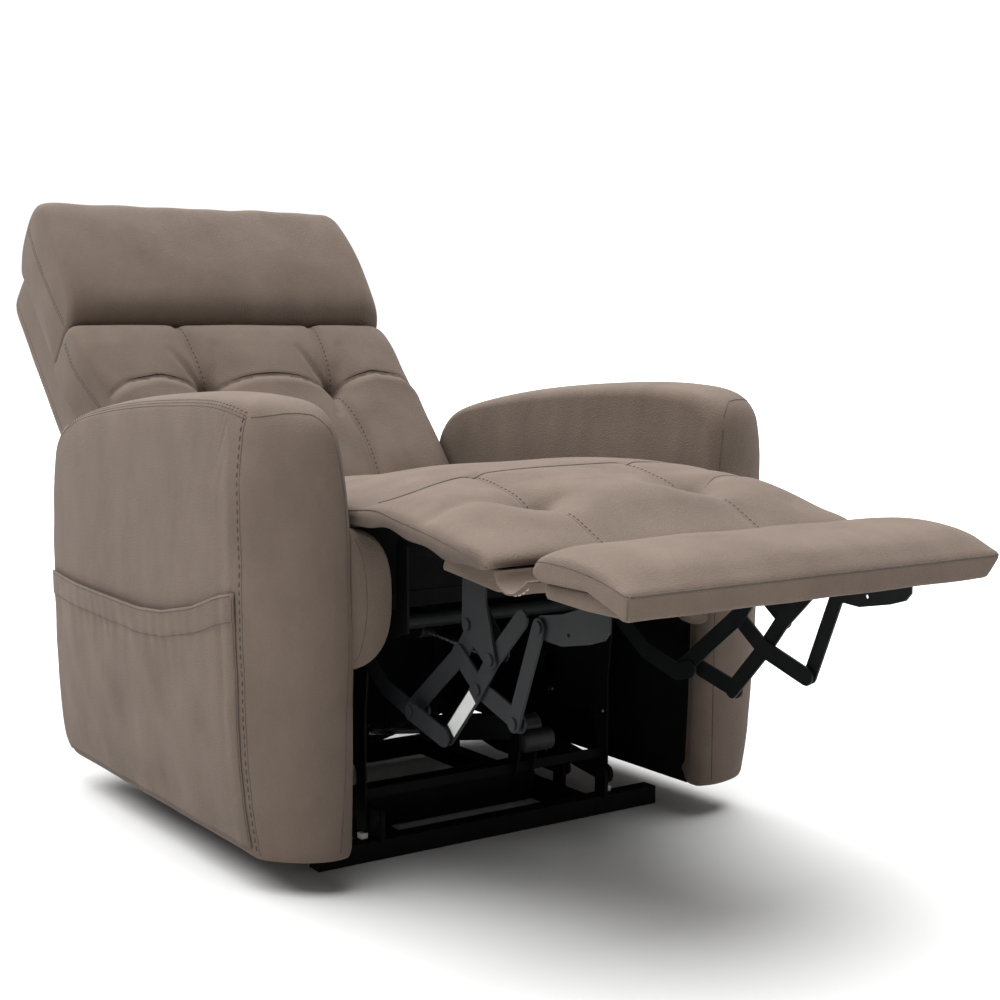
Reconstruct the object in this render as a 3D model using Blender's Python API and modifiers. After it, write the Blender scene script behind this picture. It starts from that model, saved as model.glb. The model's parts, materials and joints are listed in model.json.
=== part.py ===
"""Lift recliner chair: a padded armchair on a floor frame that lifts and tips it,
with a backrest that reclines and a two-pad footrest on a crossing-link mechanism.

Metres, +Z up, -Y is the front, +X is the sitter's left. The model stands as in use:
lowered on its floor frame, back reclined, footrest out. Design places are measured
from the front of the arms, and an empty moves everything so that the origin is under
the middle of the front floor tube.
"""
import math

import bmesh
import bpy
from mathutils import Vector

# ---- driving dimensions (m) ------------------------------------------------
GAP = 0.0003                 # clearance left between touching pieces
INNER_HALF = 0.299           # chair centre to an arm's inner face
ARM_WIDTH = 0.108
ARM_DEPTH = 0.779
ARM_BOTTOM = 0.045
ARM_TOP = 0.648
TUBE = 0.027                 # floor tube, square
TUBE_Y = 0.117               # front face of the front floor tube
BASE_HALF = 0.291            # half length of the front floor tube
RAIL_X = 0.1635              # middle of a floor side rail
REAR_TUBE_Y = 0.575
PLATE = 0.003                # thickness of a link or a side plate
LAYER = 0.004                # pitch of the link layers
BOLSTER_IN = 0.243           # chair centre to a bolster's round side
LINK_X = 0.221               # middle of the innermost link layer
LINK_R = 0.0125              # half width of a link
SIDE_X = 0.209               # middle of a side plate
SEAT_HALF = 0.288
PAD_HALF = 0.286
FOOT_HALF = 0.281
BACK_HALF = 0.289
BACK_LEAN = math.radians(45.0)
HEAD_R = 0.0075              # rivet head
HEAD_H = 0.0025
BACK_LENGTH = 0.765          # up the leaning back, from its foot to the pillow's top
PILLOW_FOOT = 0.484          # up the leaning back, to the pillow's lower edge
BACK_DEPTH = 0.118           # from the back cushion's face to the shell
REAR_LINING_Y = 0.652        # the black cloth behind the mechanism
REAR_LINING_TOP = 0.270      # just below the sweep of the back's hinge ears

# ---- joint axes, as (y, z) --------------------------------------------------
LEG_PIVOT = (0.0, 0.455)
DRIVE_GROUND = (0.154, 0.318)
DRIVE_END = (-0.011, 0.235)
CROSS_TOP = (-0.132, 0.330)
LEG_LUG = (-0.165, 0.372)
CROSSING = (-0.180, 0.295)
CROSS_FRONT = (-0.261, 0.270)
CROSS_UPPER = (-0.213, 0.337)
TIP = (-0.271, 0.393)
BEND = (-0.115, 0.225)
TAIL_END = (-0.040, 0.243)
FOOT_PIVOT = (-0.310, 0.390)
BACK_PIVOT = (0.640, 0.375)
MAIN_ARM_BASE = (0.220, 0.050)
MAIN_ARM_CHAIR = (0.575, 0.080)
FRONT_ARM_BASE = (0.126, 0.058)
FRONT_ARM_CHAIR = (0.366, 0.090)
LIFT_CROSS_TUBE = (0.270, 0.052)
LIFT_ROD_PIVOT = (0.5885, 0.052)
LIFT_MOTOR_END = (0.132, 0.150)
FOLD_MOTOR_PIVOT = (0.560, 0.300)
CRANK_END = (0.104, 0.268)

# ---- electric cylinders -----------------------------------------------------
LIFT_X = 0.060               # middle of the lifting cylinder
LIFT_STROKE = 0.170
FOLD_X = -0.016              # middle of the footrest's cylinder
FOLD_STROKE = 0.100
ROD_R = 0.009
BORE_R = 0.0096
BODY_R = 0.019
BODY_HALF = 0.013            # half width of a cylinder's housing
HOUSING_LENGTH = 0.285       # from a housing's pivot to its mouth

SIDES = {"right": -1.0, "left": 1.0}   # the sitter's right is at -X


# ---- scene helpers -----------------------------------------------------------
def clear_scene():
    for obj in list(bpy.data.objects):
        bpy.data.objects.remove(obj, do_unlink=True)


def new_collection(name):
    coll = bpy.data.collections.new(name)
    bpy.context.scene.collection.children.link(coll)
    return coll


def new_material(name, color, roughness, metallic=0.0):
    mat = bpy.data.materials.new(name)
    mat.use_nodes = True
    shader = mat.node_tree.nodes["Principled BSDF"]
    shader.inputs["Base Color"].default_value = (*color, 1.0)
    shader.inputs["Roughness"].default_value = roughness
    shader.inputs["Metallic"].default_value = metallic
    return mat


clear_scene()
PARTS = new_collection("lift_recliner_chair")
CUTTERS = new_collection("cutters")
FABRIC = new_material("fabric", (0.223, 0.184, 0.155), 0.92)
LINING = new_material("lining", (0.015, 0.015, 0.016), 0.95)
STEEL = new_material("steel", (0.022, 0.022, 0.023), 0.5, 0.3)
PLASTIC = new_material("plastic", (0.02, 0.02, 0.021), 0.6)
GLIDE = new_material("glide", (0.62, 0.62, 0.60), 0.5)
CHROME = new_material("rod", (0.7, 0.7, 0.7), 0.25, 1.0)
WOOD = new_material("wood", (0.42, 0.30, 0.18), 0.7)


def add_empty(name, y, z, parent=None):
    """An empty on a joint's axis; it never turns, so children only subtract its place."""
    empty = bpy.data.objects.new(name, None)
    empty.empty_display_size = 0.05
    PARTS.objects.link(empty)
    place(empty, (0.0, y, z), parent)
    return empty


def world_of(obj):
    """Design place of an object: the sum of its own and its parents' locations."""
    total = obj.location.copy()
    up = obj.parent
    while up is not None and up is not ORIGIN:
        total += up.location
        up = up.parent
    return total


def place(obj, design, parent):
    parent = parent or ORIGIN
    obj.parent = parent
    base = Vector((0.0, 0.0, 0.0)) if parent is ORIGIN else world_of(parent)
    obj.location = Vector(design) - base


def finish(obj, name, mat, design, parent):
    obj.name = name
    obj.data.name = name
    obj.data.materials.clear()
    obj.data.materials.append(mat)
    for coll in list(obj.users_collection):
        coll.objects.unlink(obj)
    PARTS.objects.link(obj)
    place(obj, design, parent)
    return obj


def bevelled(obj, width, segments=2, angle=35.0):
    weld = obj.modifiers.new("weld", "WELD")
    weld.merge_threshold = 0.0001
    bevel = obj.modifiers.new("bevel", "BEVEL")
    bevel.width = width
    bevel.segments = segments
    bevel.limit_method = "ANGLE"
    bevel.angle_limit = math.radians(angle)
    bevel.use_clamp_overlap = True
    return obj


def box(name, lo, hi, mat, parent=None, round_edge=0.0, segments=2):
    """A box between two design corners, with its origin in its middle."""
    size = [b - a for a, b in zip(lo, hi)]
    middle = [(a + b) / 2 for a, b in zip(lo, hi)]
    bpy.ops.mesh.primitive_cube_add(size=1.0)
    obj = bpy.context.object
    for vert in obj.data.vertices:
        vert.co = Vector((vert.co.x * size[0], vert.co.y * size[1], vert.co.z * size[2]))
    finish(obj, name, mat, middle, parent)
    if round_edge:
        bevelled(obj, round_edge, segments)
    return obj


def side_curve(name, outline, x_mid, width, mat, axis, parent=None, holes=()):
    """A flat outline in the (y, z) plane, extruded along X about x_mid.

    The outline is a list of design (y, z) points. The origin is on axis, a (y, z).
    """
    curve = bpy.data.curves.new(name, "CURVE")
    curve.dimensions = "2D"
    curve.fill_mode = "BOTH"
    curve.extrude = width / 2
    curve.render_resolution_u = 0
    for ring in [outline, *holes]:
        spline = curve.splines.new("POLY")
        spline.points.add(len(ring) - 1)
        for point, (y, z) in zip(spline.points, ring):
            point.co = (y - axis[0], z - axis[1], 0.0, 1.0)
        spline.use_cyclic_u = True
    obj = bpy.data.objects.new(name, curve)
    PARTS.objects.link(obj)
    obj.rotation_euler = (math.pi / 2, 0.0, math.pi / 2)
    return finish(obj, name, mat, (x_mid, *axis), parent)


def to_mesh(obj):
    """Replace a curve by a welded mesh, so that a Boolean modifier can use it."""
    depsgraph = bpy.context.evaluated_depsgraph_get()
    depsgraph.update()
    mesh = bpy.data.meshes.new_from_object(obj.evaluated_get(depsgraph))
    work = bmesh.new()
    work.from_mesh(mesh)
    bmesh.ops.remove_doubles(work, verts=work.verts, dist=0.00001)
    bmesh.ops.recalc_face_normals(work, faces=work.faces)
    work.to_mesh(mesh)
    work.free()
    name, parent, location, turn = obj.name, obj.parent, obj.location.copy(), obj.rotation_euler.copy()
    bpy.data.objects.remove(obj, do_unlink=True)
    made = bpy.data.objects.new(name, mesh)
    PARTS.objects.link(made)
    made.parent = parent
    made.location = location
    made.rotation_euler = turn
    made.name = name
    return made


def add_cutter(obj):
    obj.hide_render = True
    obj.display_type = "WIRE"
    for coll in list(obj.users_collection):
        coll.objects.unlink(obj)
    CUTTERS.objects.link(obj)
    return obj


def boolean(obj, other, operation):
    mod = obj.modifiers.new(operation.lower(), "BOOLEAN")
    mod.operation = operation
    mod.solver = "EXACT"
    mod.object = add_cutter(other)
    return obj


def cylinder_x(name, x_lo, x_hi, radius, mat, axis, parent=None, sides=16):
    """A round bar along X between x_lo and x_hi, centred on a design (y, z)."""
    bpy.ops.mesh.primitive_cylinder_add(vertices=sides, radius=radius, depth=x_hi - x_lo)
    obj = bpy.context.object
    for vert in obj.data.vertices:
        vert.co = Vector((vert.co.z, vert.co.x, vert.co.y))
    return finish(obj, name, mat, ((x_lo + x_hi) / 2, *axis), parent)


def arc(centre, radius, start, end, steps):
    """Points on an arc of a circle in the (y, z) plane, from start to end degrees."""
    turns = [math.radians(start + (end - start) * i / steps) for i in range(steps + 1)]
    return [(centre[0] + radius * math.cos(a), centre[1] + radius * math.sin(a)) for a in turns]


def circle(centre, radius, sides=16):
    return arc(centre, radius, 0.0, 360.0, sides)[:-1]


def bar_outline(points, radius, cap_steps=6):
    """Outline of a flat bar with round ends that follows a run of (y, z) points."""
    pts = [Vector(p) for p in points]
    dirs = [(b - a).normalized() for a, b in zip(pts, pts[1:])]
    left, right = [], []
    for i in range(1, len(pts) - 1):
        middle = (dirs[i - 1] + dirs[i]).normalized()
        normal = Vector((-middle.y, middle.x))
        reach = radius / max(0.5, normal.dot(Vector((-dirs[i].y, dirs[i].x))))
        left.append(pts[i] + normal * reach)
        right.append(pts[i] - normal * reach)

    def cap(centre, start):
        steps = range(cap_steps + 1)
        turns = [start + math.pi * s / cap_steps for s in steps]
        return [centre + Vector((math.cos(a), math.sin(a))) * radius for a in turns]

    first = math.atan2(dirs[0].y, dirs[0].x)
    last = math.atan2(dirs[-1].y, dirs[-1].x)
    ring = cap(pts[0], first + math.pi / 2) + right + cap(pts[-1], last - math.pi / 2) + left[::-1]
    return [(p.x, p.y) for p in ring]


def layer_x(side, layer):
    return SIDES[side] * (LINK_X + LAYER * layer)


def link(name, side, layer, points, axis, parent, heads=(), radius=LINK_R):
    """A flat steel link with round ends and rivet heads on its outer face."""
    x_mid = layer_x(side, layer)
    bar = to_mesh(side_curve(name, bar_outline(points, radius), x_mid, PLATE, STEEL, axis, parent))
    outer = x_mid + SIDES[side] * PLATE / 2
    for i, head in enumerate(heads):
        ends = sorted((outer - SIDES[side] * PLATE / 2, outer + SIDES[side] * HEAD_H))
        cap = cylinder_x(f"{name}_head_{i}", *ends, HEAD_R, STEEL, head, parent, 10)
        boolean(bar, cap, "UNION")
    return bar


def padded(name, outline, half, mat, axis, parent, rounding, segments=3, x_mid=0.0):
    """A stuffed piece: a side outline across the chair with rounded edges."""
    obj = side_curve(name, outline, x_mid, 2 * half, mat, axis, parent)
    return bevelled(obj, rounding, segments)


# ---- joint empties -------------------------------------------------------------
ORIGIN = bpy.data.objects.new("origin_shift", None)
PARTS.objects.link(ORIGIN)
ORIGIN.location = (0.0, -(TUBE_Y + TUBE / 2), 0.0)

MAIN_ARMS = add_empty("axis_main_arms", *MAIN_ARM_BASE)
FRONT_ARMS = add_empty("axis_front_arms", *FRONT_ARM_BASE)
CHAIR = add_empty("axis_chair", *MAIN_ARM_CHAIR, MAIN_ARMS)
LIFT_MOTOR = add_empty("axis_lift_motor", *LIFT_MOTOR_END, CHAIR)
BACK = add_empty("axis_back", *BACK_PIVOT, CHAIR)
LEG = add_empty("axis_leg", *LEG_PIVOT, CHAIR)
DRIVE = add_empty("axis_drive", *DRIVE_GROUND, CHAIR)
RISER = add_empty("axis_riser", *DRIVE_END, DRIVE)
CROSS = add_empty("axis_cross", *CROSS_TOP, RISER)
UPPER = add_empty("axis_upper", *CROSSING, CROSS)
TAIL = add_empty("axis_tail", *BEND, UPPER)
STAY = add_empty("axis_stay", *CROSS_FRONT, CROSS)
FOOT = add_empty("axis_foot", *FOOT_PIVOT, STAY)
FOLD_MOTOR = add_empty("axis_fold_motor", *FOLD_MOTOR_PIVOT, CHAIR)


# ---- floor frame ------------------------------------------------------------------
def upright(name, x_mid, y, top):
    """A round-topped lug that stands on a floor tube and holds a pivot."""
    low = TUBE - 0.004
    half = 0.0125
    outline = [(y - half, low), (y + half, low), *arc((y, top), half, 0.0, 180.0, 6)]
    return to_mesh(side_curve(name, outline, x_mid, 0.006, STEEL, (y, top)))


def cross_tube(name, y, half, lugs):
    """A square floor tube across the chair, with lugs standing on it."""
    tube = box(name, (-half, y, 0.0), (half, y + TUBE, TUBE), STEEL)
    for i, (x_mid, lug_y, top) in enumerate(lugs):
        boolean(tube, upright(f"{name}_lug_{i}", x_mid, lug_y, top), "UNION")
    return tube


def build_base():
    front_lugs = [(s * 0.1930, FRONT_ARM_BASE[0], FRONT_ARM_BASE[1]) for s in SIDES.values()]
    cross_tube("base_front_tube", TUBE_Y, BASE_HALF, front_lugs)
    lug_x = LIFT_X - BODY_HALF
    cross_tube("base_rear_tube", REAR_TUBE_Y, BASE_HALF - 0.06, [(lug_x, *LIFT_ROD_PIVOT)])
    for side, sign in SIDES.items():
        x_pair = sorted((sign * (RAIL_X - TUBE / 2), sign * (RAIL_X + TUBE / 2)))
        lo = (x_pair[0], TUBE_Y + TUBE + GAP, 0.0)
        hi = (x_pair[1], REAR_TUBE_Y - GAP, TUBE)
        rail = box(f"base_side_rail_{side}", lo, hi, STEEL)
        main_lug_x = sign * 0.1840
        shelf_pair = sorted((sign * (RAIL_X + 0.004), main_lug_x + sign * 0.003))
        shelf_lo = (shelf_pair[0], MAIN_ARM_BASE[0] - 0.0125, TUBE - 0.010)
        shelf_hi = (shelf_pair[1], MAIN_ARM_BASE[0] + 0.0125, TUBE - 0.002)
        boolean(rail, box(f"shelf_{side}", shelf_lo, shelf_hi, STEEL), "UNION")
        boolean(rail, upright(f"main_lug_{side}", main_lug_x, *MAIN_ARM_BASE), "UNION")
    inner = RAIL_X - TUBE / 2 - GAP
    box("base_mid_brace", (-inner, 0.2380, 0.003), (inner, 0.2400, 0.060), STEEL)


# ---- lifting arms and their drive ----------------------------------------------------
def build_lift():
    for side, sign in SIDES.items():
        front = bar_outline([FRONT_ARM_BASE, FRONT_ARM_CHAIR], 0.014)
        main = bar_outline([MAIN_ARM_BASE, (0.40, 0.052), MAIN_ARM_CHAIR], 0.014)
        side_curve(f"lift_front_arm_{side}", front, sign * 0.2020, 0.006, STEEL, FRONT_ARM_BASE, FRONT_ARMS)
        side_curve(f"lift_main_arm_{side}", main, sign * 0.1930, 0.006, STEEL, MAIN_ARM_BASE, MAIN_ARMS)
    cylinder_x("lift_cross_tube", -0.1897, 0.1897, 0.010, STEEL, LIFT_CROSS_TUBE, MAIN_ARMS)
    lift_names = ("lift_actuator_housing", "lift_actuator_rod")
    lift_ends = (LIFT_MOTOR_END, LIFT_ROD_PIVOT)
    build_cylinder(lift_names, LIFT_X, lift_ends, LIFT_STROKE + 0.010, 0.0, LIFT_MOTOR)
    fold_names = ("fold_actuator_housing", "fold_actuator_rod")
    build_cylinder(fold_names, FOLD_X, (FOLD_MOTOR_PIVOT, CRANK_END), 0.015, FOLD_STROKE, FOLD_MOTOR)


def bar_along(name, x_mid, start, end, radius, mat, parent, sides=14):
    """A round bar in the plane x_mid, between two design (y, z) places."""
    a, b = Vector(start), Vector(end)
    bpy.ops.mesh.primitive_cylinder_add(vertices=sides, radius=radius, depth=(b - a).length)
    bar = bpy.context.object
    middle = (a + b) / 2
    finish(bar, name, mat, (x_mid, middle.x, middle.y), parent)
    bar.rotation_euler = (math.atan2(b.y - a.y, b.x - a.x) - math.pi / 2, 0.0, 0.0)
    return bar


def build_cylinder(names, x_mid, ends, inside, travel, parent):
    """An electric cylinder: a bored housing from its motor end, and a rod that slides in it.

    inside is how far the rod reaches into the housing as it stands, and travel is how far it goes
    in from there.
    """
    a, b = Vector(ends[0]), Vector(ends[1])
    along = (b - a).normalized()
    mouth = a + along * HOUSING_LENGTH
    outline = bar_outline([a, mouth - along * BODY_R], BODY_R)
    housing = to_mesh(side_curve(names[0], outline, x_mid, 2 * BODY_HALF, PLASTIC, ends[0], parent))
    deep = mouth - along * (inside + travel + 0.010)
    bore = bar_along(f"{names[0]}_bore", x_mid, deep, mouth + along * 0.010, BORE_R, PLASTIC, parent)
    boolean(housing, bore, "DIFFERENCE")
    rod_start = mouth - along * inside
    bar_along(names[1], x_mid, rod_start, b, ROD_R, CHROME, parent)


# ---- chair frame ----------------------------------------------------------------------
def side_plate_outline():
    """Upright leg at the front, long web, ears at the lifting, drive and back pivots."""
    return [(0.1325, 0.036), (0.1575, 0.036), (0.1575, 0.118), (0.175, 0.150), (0.330, 0.102),
            *arc(FRONT_ARM_CHAIR, 0.0125, 200.0, 340.0, 5), (0.430, 0.150), (0.545, 0.066),
            (0.590, 0.062), (0.606, 0.085), (0.640, 0.300),
            *arc(BACK_PIVOT, 0.0115, 0.0, 150.0, 5), (0.610, 0.358), (0.046, 0.358),
            (0.046, 0.445), (0.020, 0.4665), *arc(LEG_PIVOT, 0.0115, 90.0, 270.0, 5),
            (0.0185, 0.4435), (0.0185, 0.330), (0.120, 0.300), (0.1325, 0.200)]


def build_chair_frame():
    for side, sign in SIDES.items():
        x_mid = sign * SIDE_X
        holes = [circle((0.28, 0.20), 0.018, 12), circle((0.50, 0.24), 0.018, 12),
                 circle(DRIVE_GROUND, 0.0114)]
        side_curve(f"frame_side_plate_{side}", side_plate_outline(), x_mid, PLATE, STEEL,
                   MAIN_ARM_CHAIR, CHAIR, holes)
        glide_x = sorted((x_mid - sign * 0.0030, x_mid + sign * 0.0080))
        lo = (glide_x[0], 0.1325, TUBE + GAP)
        hi = (glide_x[1], 0.1450, 0.036 - GAP)
        box(f"glide_{side}", lo, hi, GLIDE, CHAIR, 0.001, 1)
    inner = SIDE_X - PLATE / 2 - GAP
    front = box("frame_front_crossbar", (-inner, 0.146, 0.0785), (inner, 0.150, 0.0925), STEEL, CHAIR)
    add_ears(front, LIFT_X, LIFT_MOTOR_END, (0.148, 0.0855))
    rear = box("frame_rear_crossbar", (-inner, 0.600, 0.255), (inner, 0.6035, 0.345), STEEL, CHAIR)
    add_ears(rear, FOLD_X, FOLD_MOTOR_PIVOT, (0.6018, 0.300))
    cylinder_x("leg_hinge_rod", -inner, inner, 0.004, STEEL, LEG_PIVOT, CHAIR, 12)
    box("seat_frame", (-SEAT_HALF, 0.050, 0.3585), (SEAT_HALF, 0.600, 0.380), WOOD, CHAIR)


def add_ears(bar, x_mid, pivot, foot):
    """Two flat ears from foot, on a crossbar, that hold a cylinder's end at pivot between them."""
    for i, sign in enumerate(SIDES.values()):
        ear_x = x_mid + sign * (BODY_HALF + PLATE / 2 + GAP)
        ear = side_curve(f"{bar.name}_ear_{i}", bar_outline([foot, pivot], LINK_R), ear_x, PLATE, STEEL,
                         pivot, CHAIR)
        boolean(bar, to_mesh(ear), "UNION")


# ---- upholstery on the chair ------------------------------------------------------------
def arm_outline():
    """Side profile of an arm: upright front, crowned top falling to the back."""
    return [(0.012, ARM_BOTTOM), (-0.004, 0.30), (-0.010, 0.560), (0.012, 0.628), (0.070, ARM_TOP - 0.004),
            (0.190, ARM_TOP), (0.430, 0.630), (0.640, 0.600), (0.735, 0.578), (0.772, 0.535),
            (ARM_DEPTH, 0.450), (0.766, ARM_BOTTOM + 0.008), (0.750, ARM_BOTTOM)]


def build_arms():
    for side, sign in SIDES.items():
        x_mid = sign * (INNER_HALF + ARM_WIDTH / 2)
        arm = side_curve(f"arm_{side}", arm_outline(), x_mid, ARM_WIDTH, FABRIC, (0.39, 0.3), CHAIR)
        bevelled(arm, 0.022, 3, 50.0)
        lining = [(0.045, 0.062), (0.100, 0.066), (0.190, 0.088), (0.560, 0.088), (0.575, 0.365),
                  (0.045, 0.365)]
        side_curve(f"arm_lining_{side}", lining, sign * (INNER_HALF - 0.0035), 0.006, LINING,
                   (0.3, 0.2), CHAIR)
        build_inner_pad(side, sign)


def build_inner_pad(side, sign):
    """The D-shaped stuffed bolster between the arm and the mechanism, under the leg pad."""
    turns = [math.radians(t) for t in range(10, 171, 20)]
    flat = INNER_HALF - GAP
    bulge = flat - BOLSTER_IN
    curved = [(sign * (flat - bulge * math.sin(a)), 0.378 - 0.088 * math.cos(a)) for a in turns]
    outline = [*curved, (sign * flat, 0.460), (sign * flat, 0.296)]
    curve = side_curve(f"arm_inner_bolster_{side}", outline, 0.0, 0.038, FABRIC, (0.0, 0.0), CHAIR)
    curve.rotation_euler = (math.pi / 2, 0.0, 0.0)
    place(curve, (0.0, 0.0258, 0.0), CHAIR)
    bevelled(curve, 0.008, 2, 50.0)


def build_pocket():
    """A flat storage pocket on the right arm's outer face, open along its top."""
    face = -(INNER_HALF + ARM_WIDTH) - GAP
    depth = 0.0095
    wall = 0.0025
    outer = box("side_pocket", (face - depth, 0.075, 0.075), (face, 0.752, 0.338), FABRIC, CHAIR)
    hollow_lo = (face - depth + wall, 0.075 + wall, 0.075 + wall)
    hollow_hi = (face + 0.002, 0.752 - wall, 0.345)
    boolean(outer, box("pocket_hollow", hollow_lo, hollow_hi, FABRIC, CHAIR), "DIFFERENCE")


def build_seat():
    outline = [(0.048, 0.3810), (0.596, 0.3810), (0.596, 0.470), (0.520, 0.492), (0.300, 0.505),
               (0.070, 0.518), (0.048, 0.500)]
    padded("seat_cushion", outline, SEAT_HALF, FABRIC, (0.3, 0.4), CHAIR, 0.016)


def build_rear_lining():
    """The black cloth stretched flat between the arms, behind the mechanism and below the back."""
    half = INNER_HALF - GAP
    low = (-half, REAR_LINING_Y, ARM_BOTTOM + 0.015)
    high = (half, REAR_LINING_Y + 0.0025, REAR_LINING_TOP)
    box("rear_lining", low, high, LINING, CHAIR)


# ---- reclining back ------------------------------------------------------------------------
def back_point(along, deep):
    """(y, z) of a place on the leaning back: along it from its foot, deep behind its face."""
    foot_y, foot_z = 0.588, 0.398
    lean_s, lean_c = math.sin(BACK_LEAN), math.cos(BACK_LEAN)
    return (foot_y + along * lean_c + deep * lean_s, foot_z + along * lean_s - deep * lean_c)


def on_back(outline):
    """The (y, z) points of an outline drawn on the back as (along, deep) places."""
    return [back_point(*place_on_it) for place_on_it in outline]


def build_back():
    top, split, rear = BACK_LENGTH, PILLOW_FOOT, BACK_DEPTH
    lower = [(0.030, 0.010), (0.16, 0.0), (split - 0.012, 0.0), (split - 0.0005, 0.030),
             (split - 0.0005, rear), (0.045, rear)]
    pillow = [(split, 0.022), (split + 0.012, -0.010), (0.54, -0.034), (0.70, -0.036),
              (top - 0.012, -0.020), (top, 0.010), (top - 0.012, 0.090), (top - 0.055, rear),
              (split, rear)]
    shell = [(0.045, rear + GAP), (top - 0.055, rear + GAP), (top - 0.023, 0.128), (top - 0.019, 0.215),
             (top - 0.039, 0.225), (0.10, 0.215), (0.03, 0.17)]
    padded("back_cushion", on_back(lower), BACK_HALF, FABRIC, BACK_PIVOT, BACK, 0.014)
    padded("headrest_pillow", on_back(pillow), BACK_HALF - 0.002, FABRIC, BACK_PIVOT, BACK, 0.012)
    padded("back_shell", on_back(shell), BACK_HALF + 0.004, FABRIC, BACK_PIVOT, BACK, 0.010, 2)
    ear = [*arc(BACK_PIVOT, 0.0115, 90.0, 270.0, 5), (0.700, 0.300), (0.7160, 0.293), (0.7235, 0.2975),
           (0.6985, 0.3420), (0.660, 0.374)]
    for side, sign in SIDES.items():
        ear_x = sign * (SIDE_X - LAYER)
        side_curve(f"back_hinge_ear_{side}", ear, ear_x, PLATE, STEEL, BACK_PIVOT, BACK)


# ---- footrest -----------------------------------------------------------------------------
def build_leg_pad():
    board_back = -0.0125
    box("leg_board", (-0.2155, -0.250, 0.438), (0.2155, board_back, 0.4520), WOOD, LEG, 0.002, 1)
    outline = [(-0.268, 0.4523), (-0.018, 0.4523), (-0.018, 0.512), (-0.060, 0.519), (-0.150, 0.510),
               (-0.250, 0.492), (-0.286, 0.474), (-0.284, 0.456)]
    padded("leg_cushion", outline, PAD_HALF, FABRIC, LEG_PIVOT, LEG, 0.012)
    flap = [(-0.2523, 0.4415), (-0.2523, 0.4485), (-0.300, 0.4490), (-0.340, 0.4490), (-0.340, 0.4450),
            (-0.300, 0.4430)]
    side_curve("leg_flap", flap, 0.0, 0.454, FABRIC, LEG_PIVOT, LEG)
    for side in SIDES:
        outline = [(-0.156, 0.4520), *arc(LEG_LUG, 0.0115, 0.0, -54.0, 3),
                   *arc(CROSS_UPPER, 0.0115, -54.0, -205.0, 6), (-0.214, 0.375), (-0.204, 0.405),
                   (-0.202, 0.4520)]
        x_mid = layer_x(side, 4)
        bracket = to_mesh(side_curve(f"leg_bracket_{side}", outline, x_mid, PLATE, STEEL, LEG_LUG, LEG))
        outer = x_mid + SIDES[side] * PLATE / 2
        for i, head in enumerate((LEG_LUG, CROSS_UPPER)):
            ends = sorted((outer - SIDES[side] * PLATE / 2, outer + SIDES[side] * HEAD_H))
            rivet = cylinder_x(f"leg_head_{side}_{i}", *ends, HEAD_R, STEEL, head, LEG, 10)
            boolean(bracket, rivet, "UNION")
    strap = [(-0.0120, 0.4495), (-0.010, 0.4620), (0.0, 0.4650), (0.0085, 0.4600), (0.0100, 0.4550),
             (0.0085, 0.4480), (0.0, 0.4375), (-0.012, 0.4330), (-0.060, 0.4330), (-0.060, 0.4377),
             (-0.0120, 0.4377)]
    rod_hole = circle(LEG_PIVOT, 0.0046, 12)
    side_curve("leg_hinge_strap", strap, 0.060, 0.080, STEEL, LEG_PIVOT, LEG, [rod_hole])


def build_foot_pad():
    box("foot_board", (-0.240, -0.512, 0.4235), (0.240, -0.388, 0.4355), WOOD, FOOT, 0.002, 1)
    outline = [(-0.505, 0.4358), (-0.392, 0.4358), (-0.366, 0.452), (-0.364, 0.464), (-0.390, 0.484),
               (-0.480, 0.480), (-0.515, 0.468), (-0.524, 0.452), (-0.520, 0.440)]
    padded("foot_cushion", outline, FOOT_HALF, FABRIC, FOOT_PIVOT, FOOT, 0.009)
    for side in SIDES:
        plate = [(-0.298, 0.392), (-0.302, 0.380), (-0.315, 0.376), (-0.350, 0.374), (-0.400, 0.384),
                 (-0.425, 0.392), (-0.434, 0.402), (-0.434, 0.4232), (-0.390, 0.4232), (-0.350, 0.410),
                 (-0.308, 0.403)]
        side_curve(f"foot_bracket_{side}", plate, layer_x(side, 3), PLATE, STEEL, FOOT_PIVOT, FOOT,
                   [circle((-0.362, 0.389), 0.003, 8)])


def build_links():
    for side in SIDES:
        drive = [DRIVE_GROUND, (0.060, 0.255), DRIVE_END, TAIL_END]
        link(f"drive_link_{side}", side, 0, drive, DRIVE_GROUND, DRIVE)
        link(f"riser_link_{side}", side, 1, [DRIVE_END, CROSS_TOP, LEG_LUG], DRIVE_END, RISER)
        link(f"cross_link_{side}", side, 2, [CROSS_TOP, CROSSING, CROSS_FRONT], CROSS_TOP, CROSS)
        link(f"upper_link_{side}", side, 3, [BEND, CROSSING, CROSS_UPPER, TIP], CROSSING, UPPER,
             [CROSSING, BEND], 0.0115)
        link(f"tail_link_{side}", side, 5, [BEND, TAIL_END], BEND, TAIL, [TAIL_END])
        link(f"stay_link_{side}", side, 4, [CROSS_FRONT, FOOT_PIVOT], CROSS_FRONT, STAY,
             [CROSS_FRONT, FOOT_PIVOT], 0.011)
    reach = LINK_X - PLATE / 2 - GAP
    cylinder_x("drive_torsion_tube", -reach, reach, 0.011, STEEL, DRIVE_GROUND, DRIVE, 16)
    side_curve("drive_crank", bar_outline([DRIVE_GROUND, CRANK_END], 0.013), 0.0, PLATE, STEEL,
               DRIVE_GROUND, DRIVE, [circle(DRIVE_GROUND, 0.0114, 16)])


build_base()
build_lift()
build_chair_frame()
build_arms()
build_pocket()
build_seat()
build_rear_lining()
build_back()
build_leg_pad()
build_foot_pad()
build_links()
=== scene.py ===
"""Looks for the lift recliner chair: upholstery, seams, stitching, materials, light and camera.

Metres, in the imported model's frame. Outlines are written as (y, z) or (x, z) measured from
the front of the arms, which is where the footrest's hinge stands.
"""
import json
import math

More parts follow.
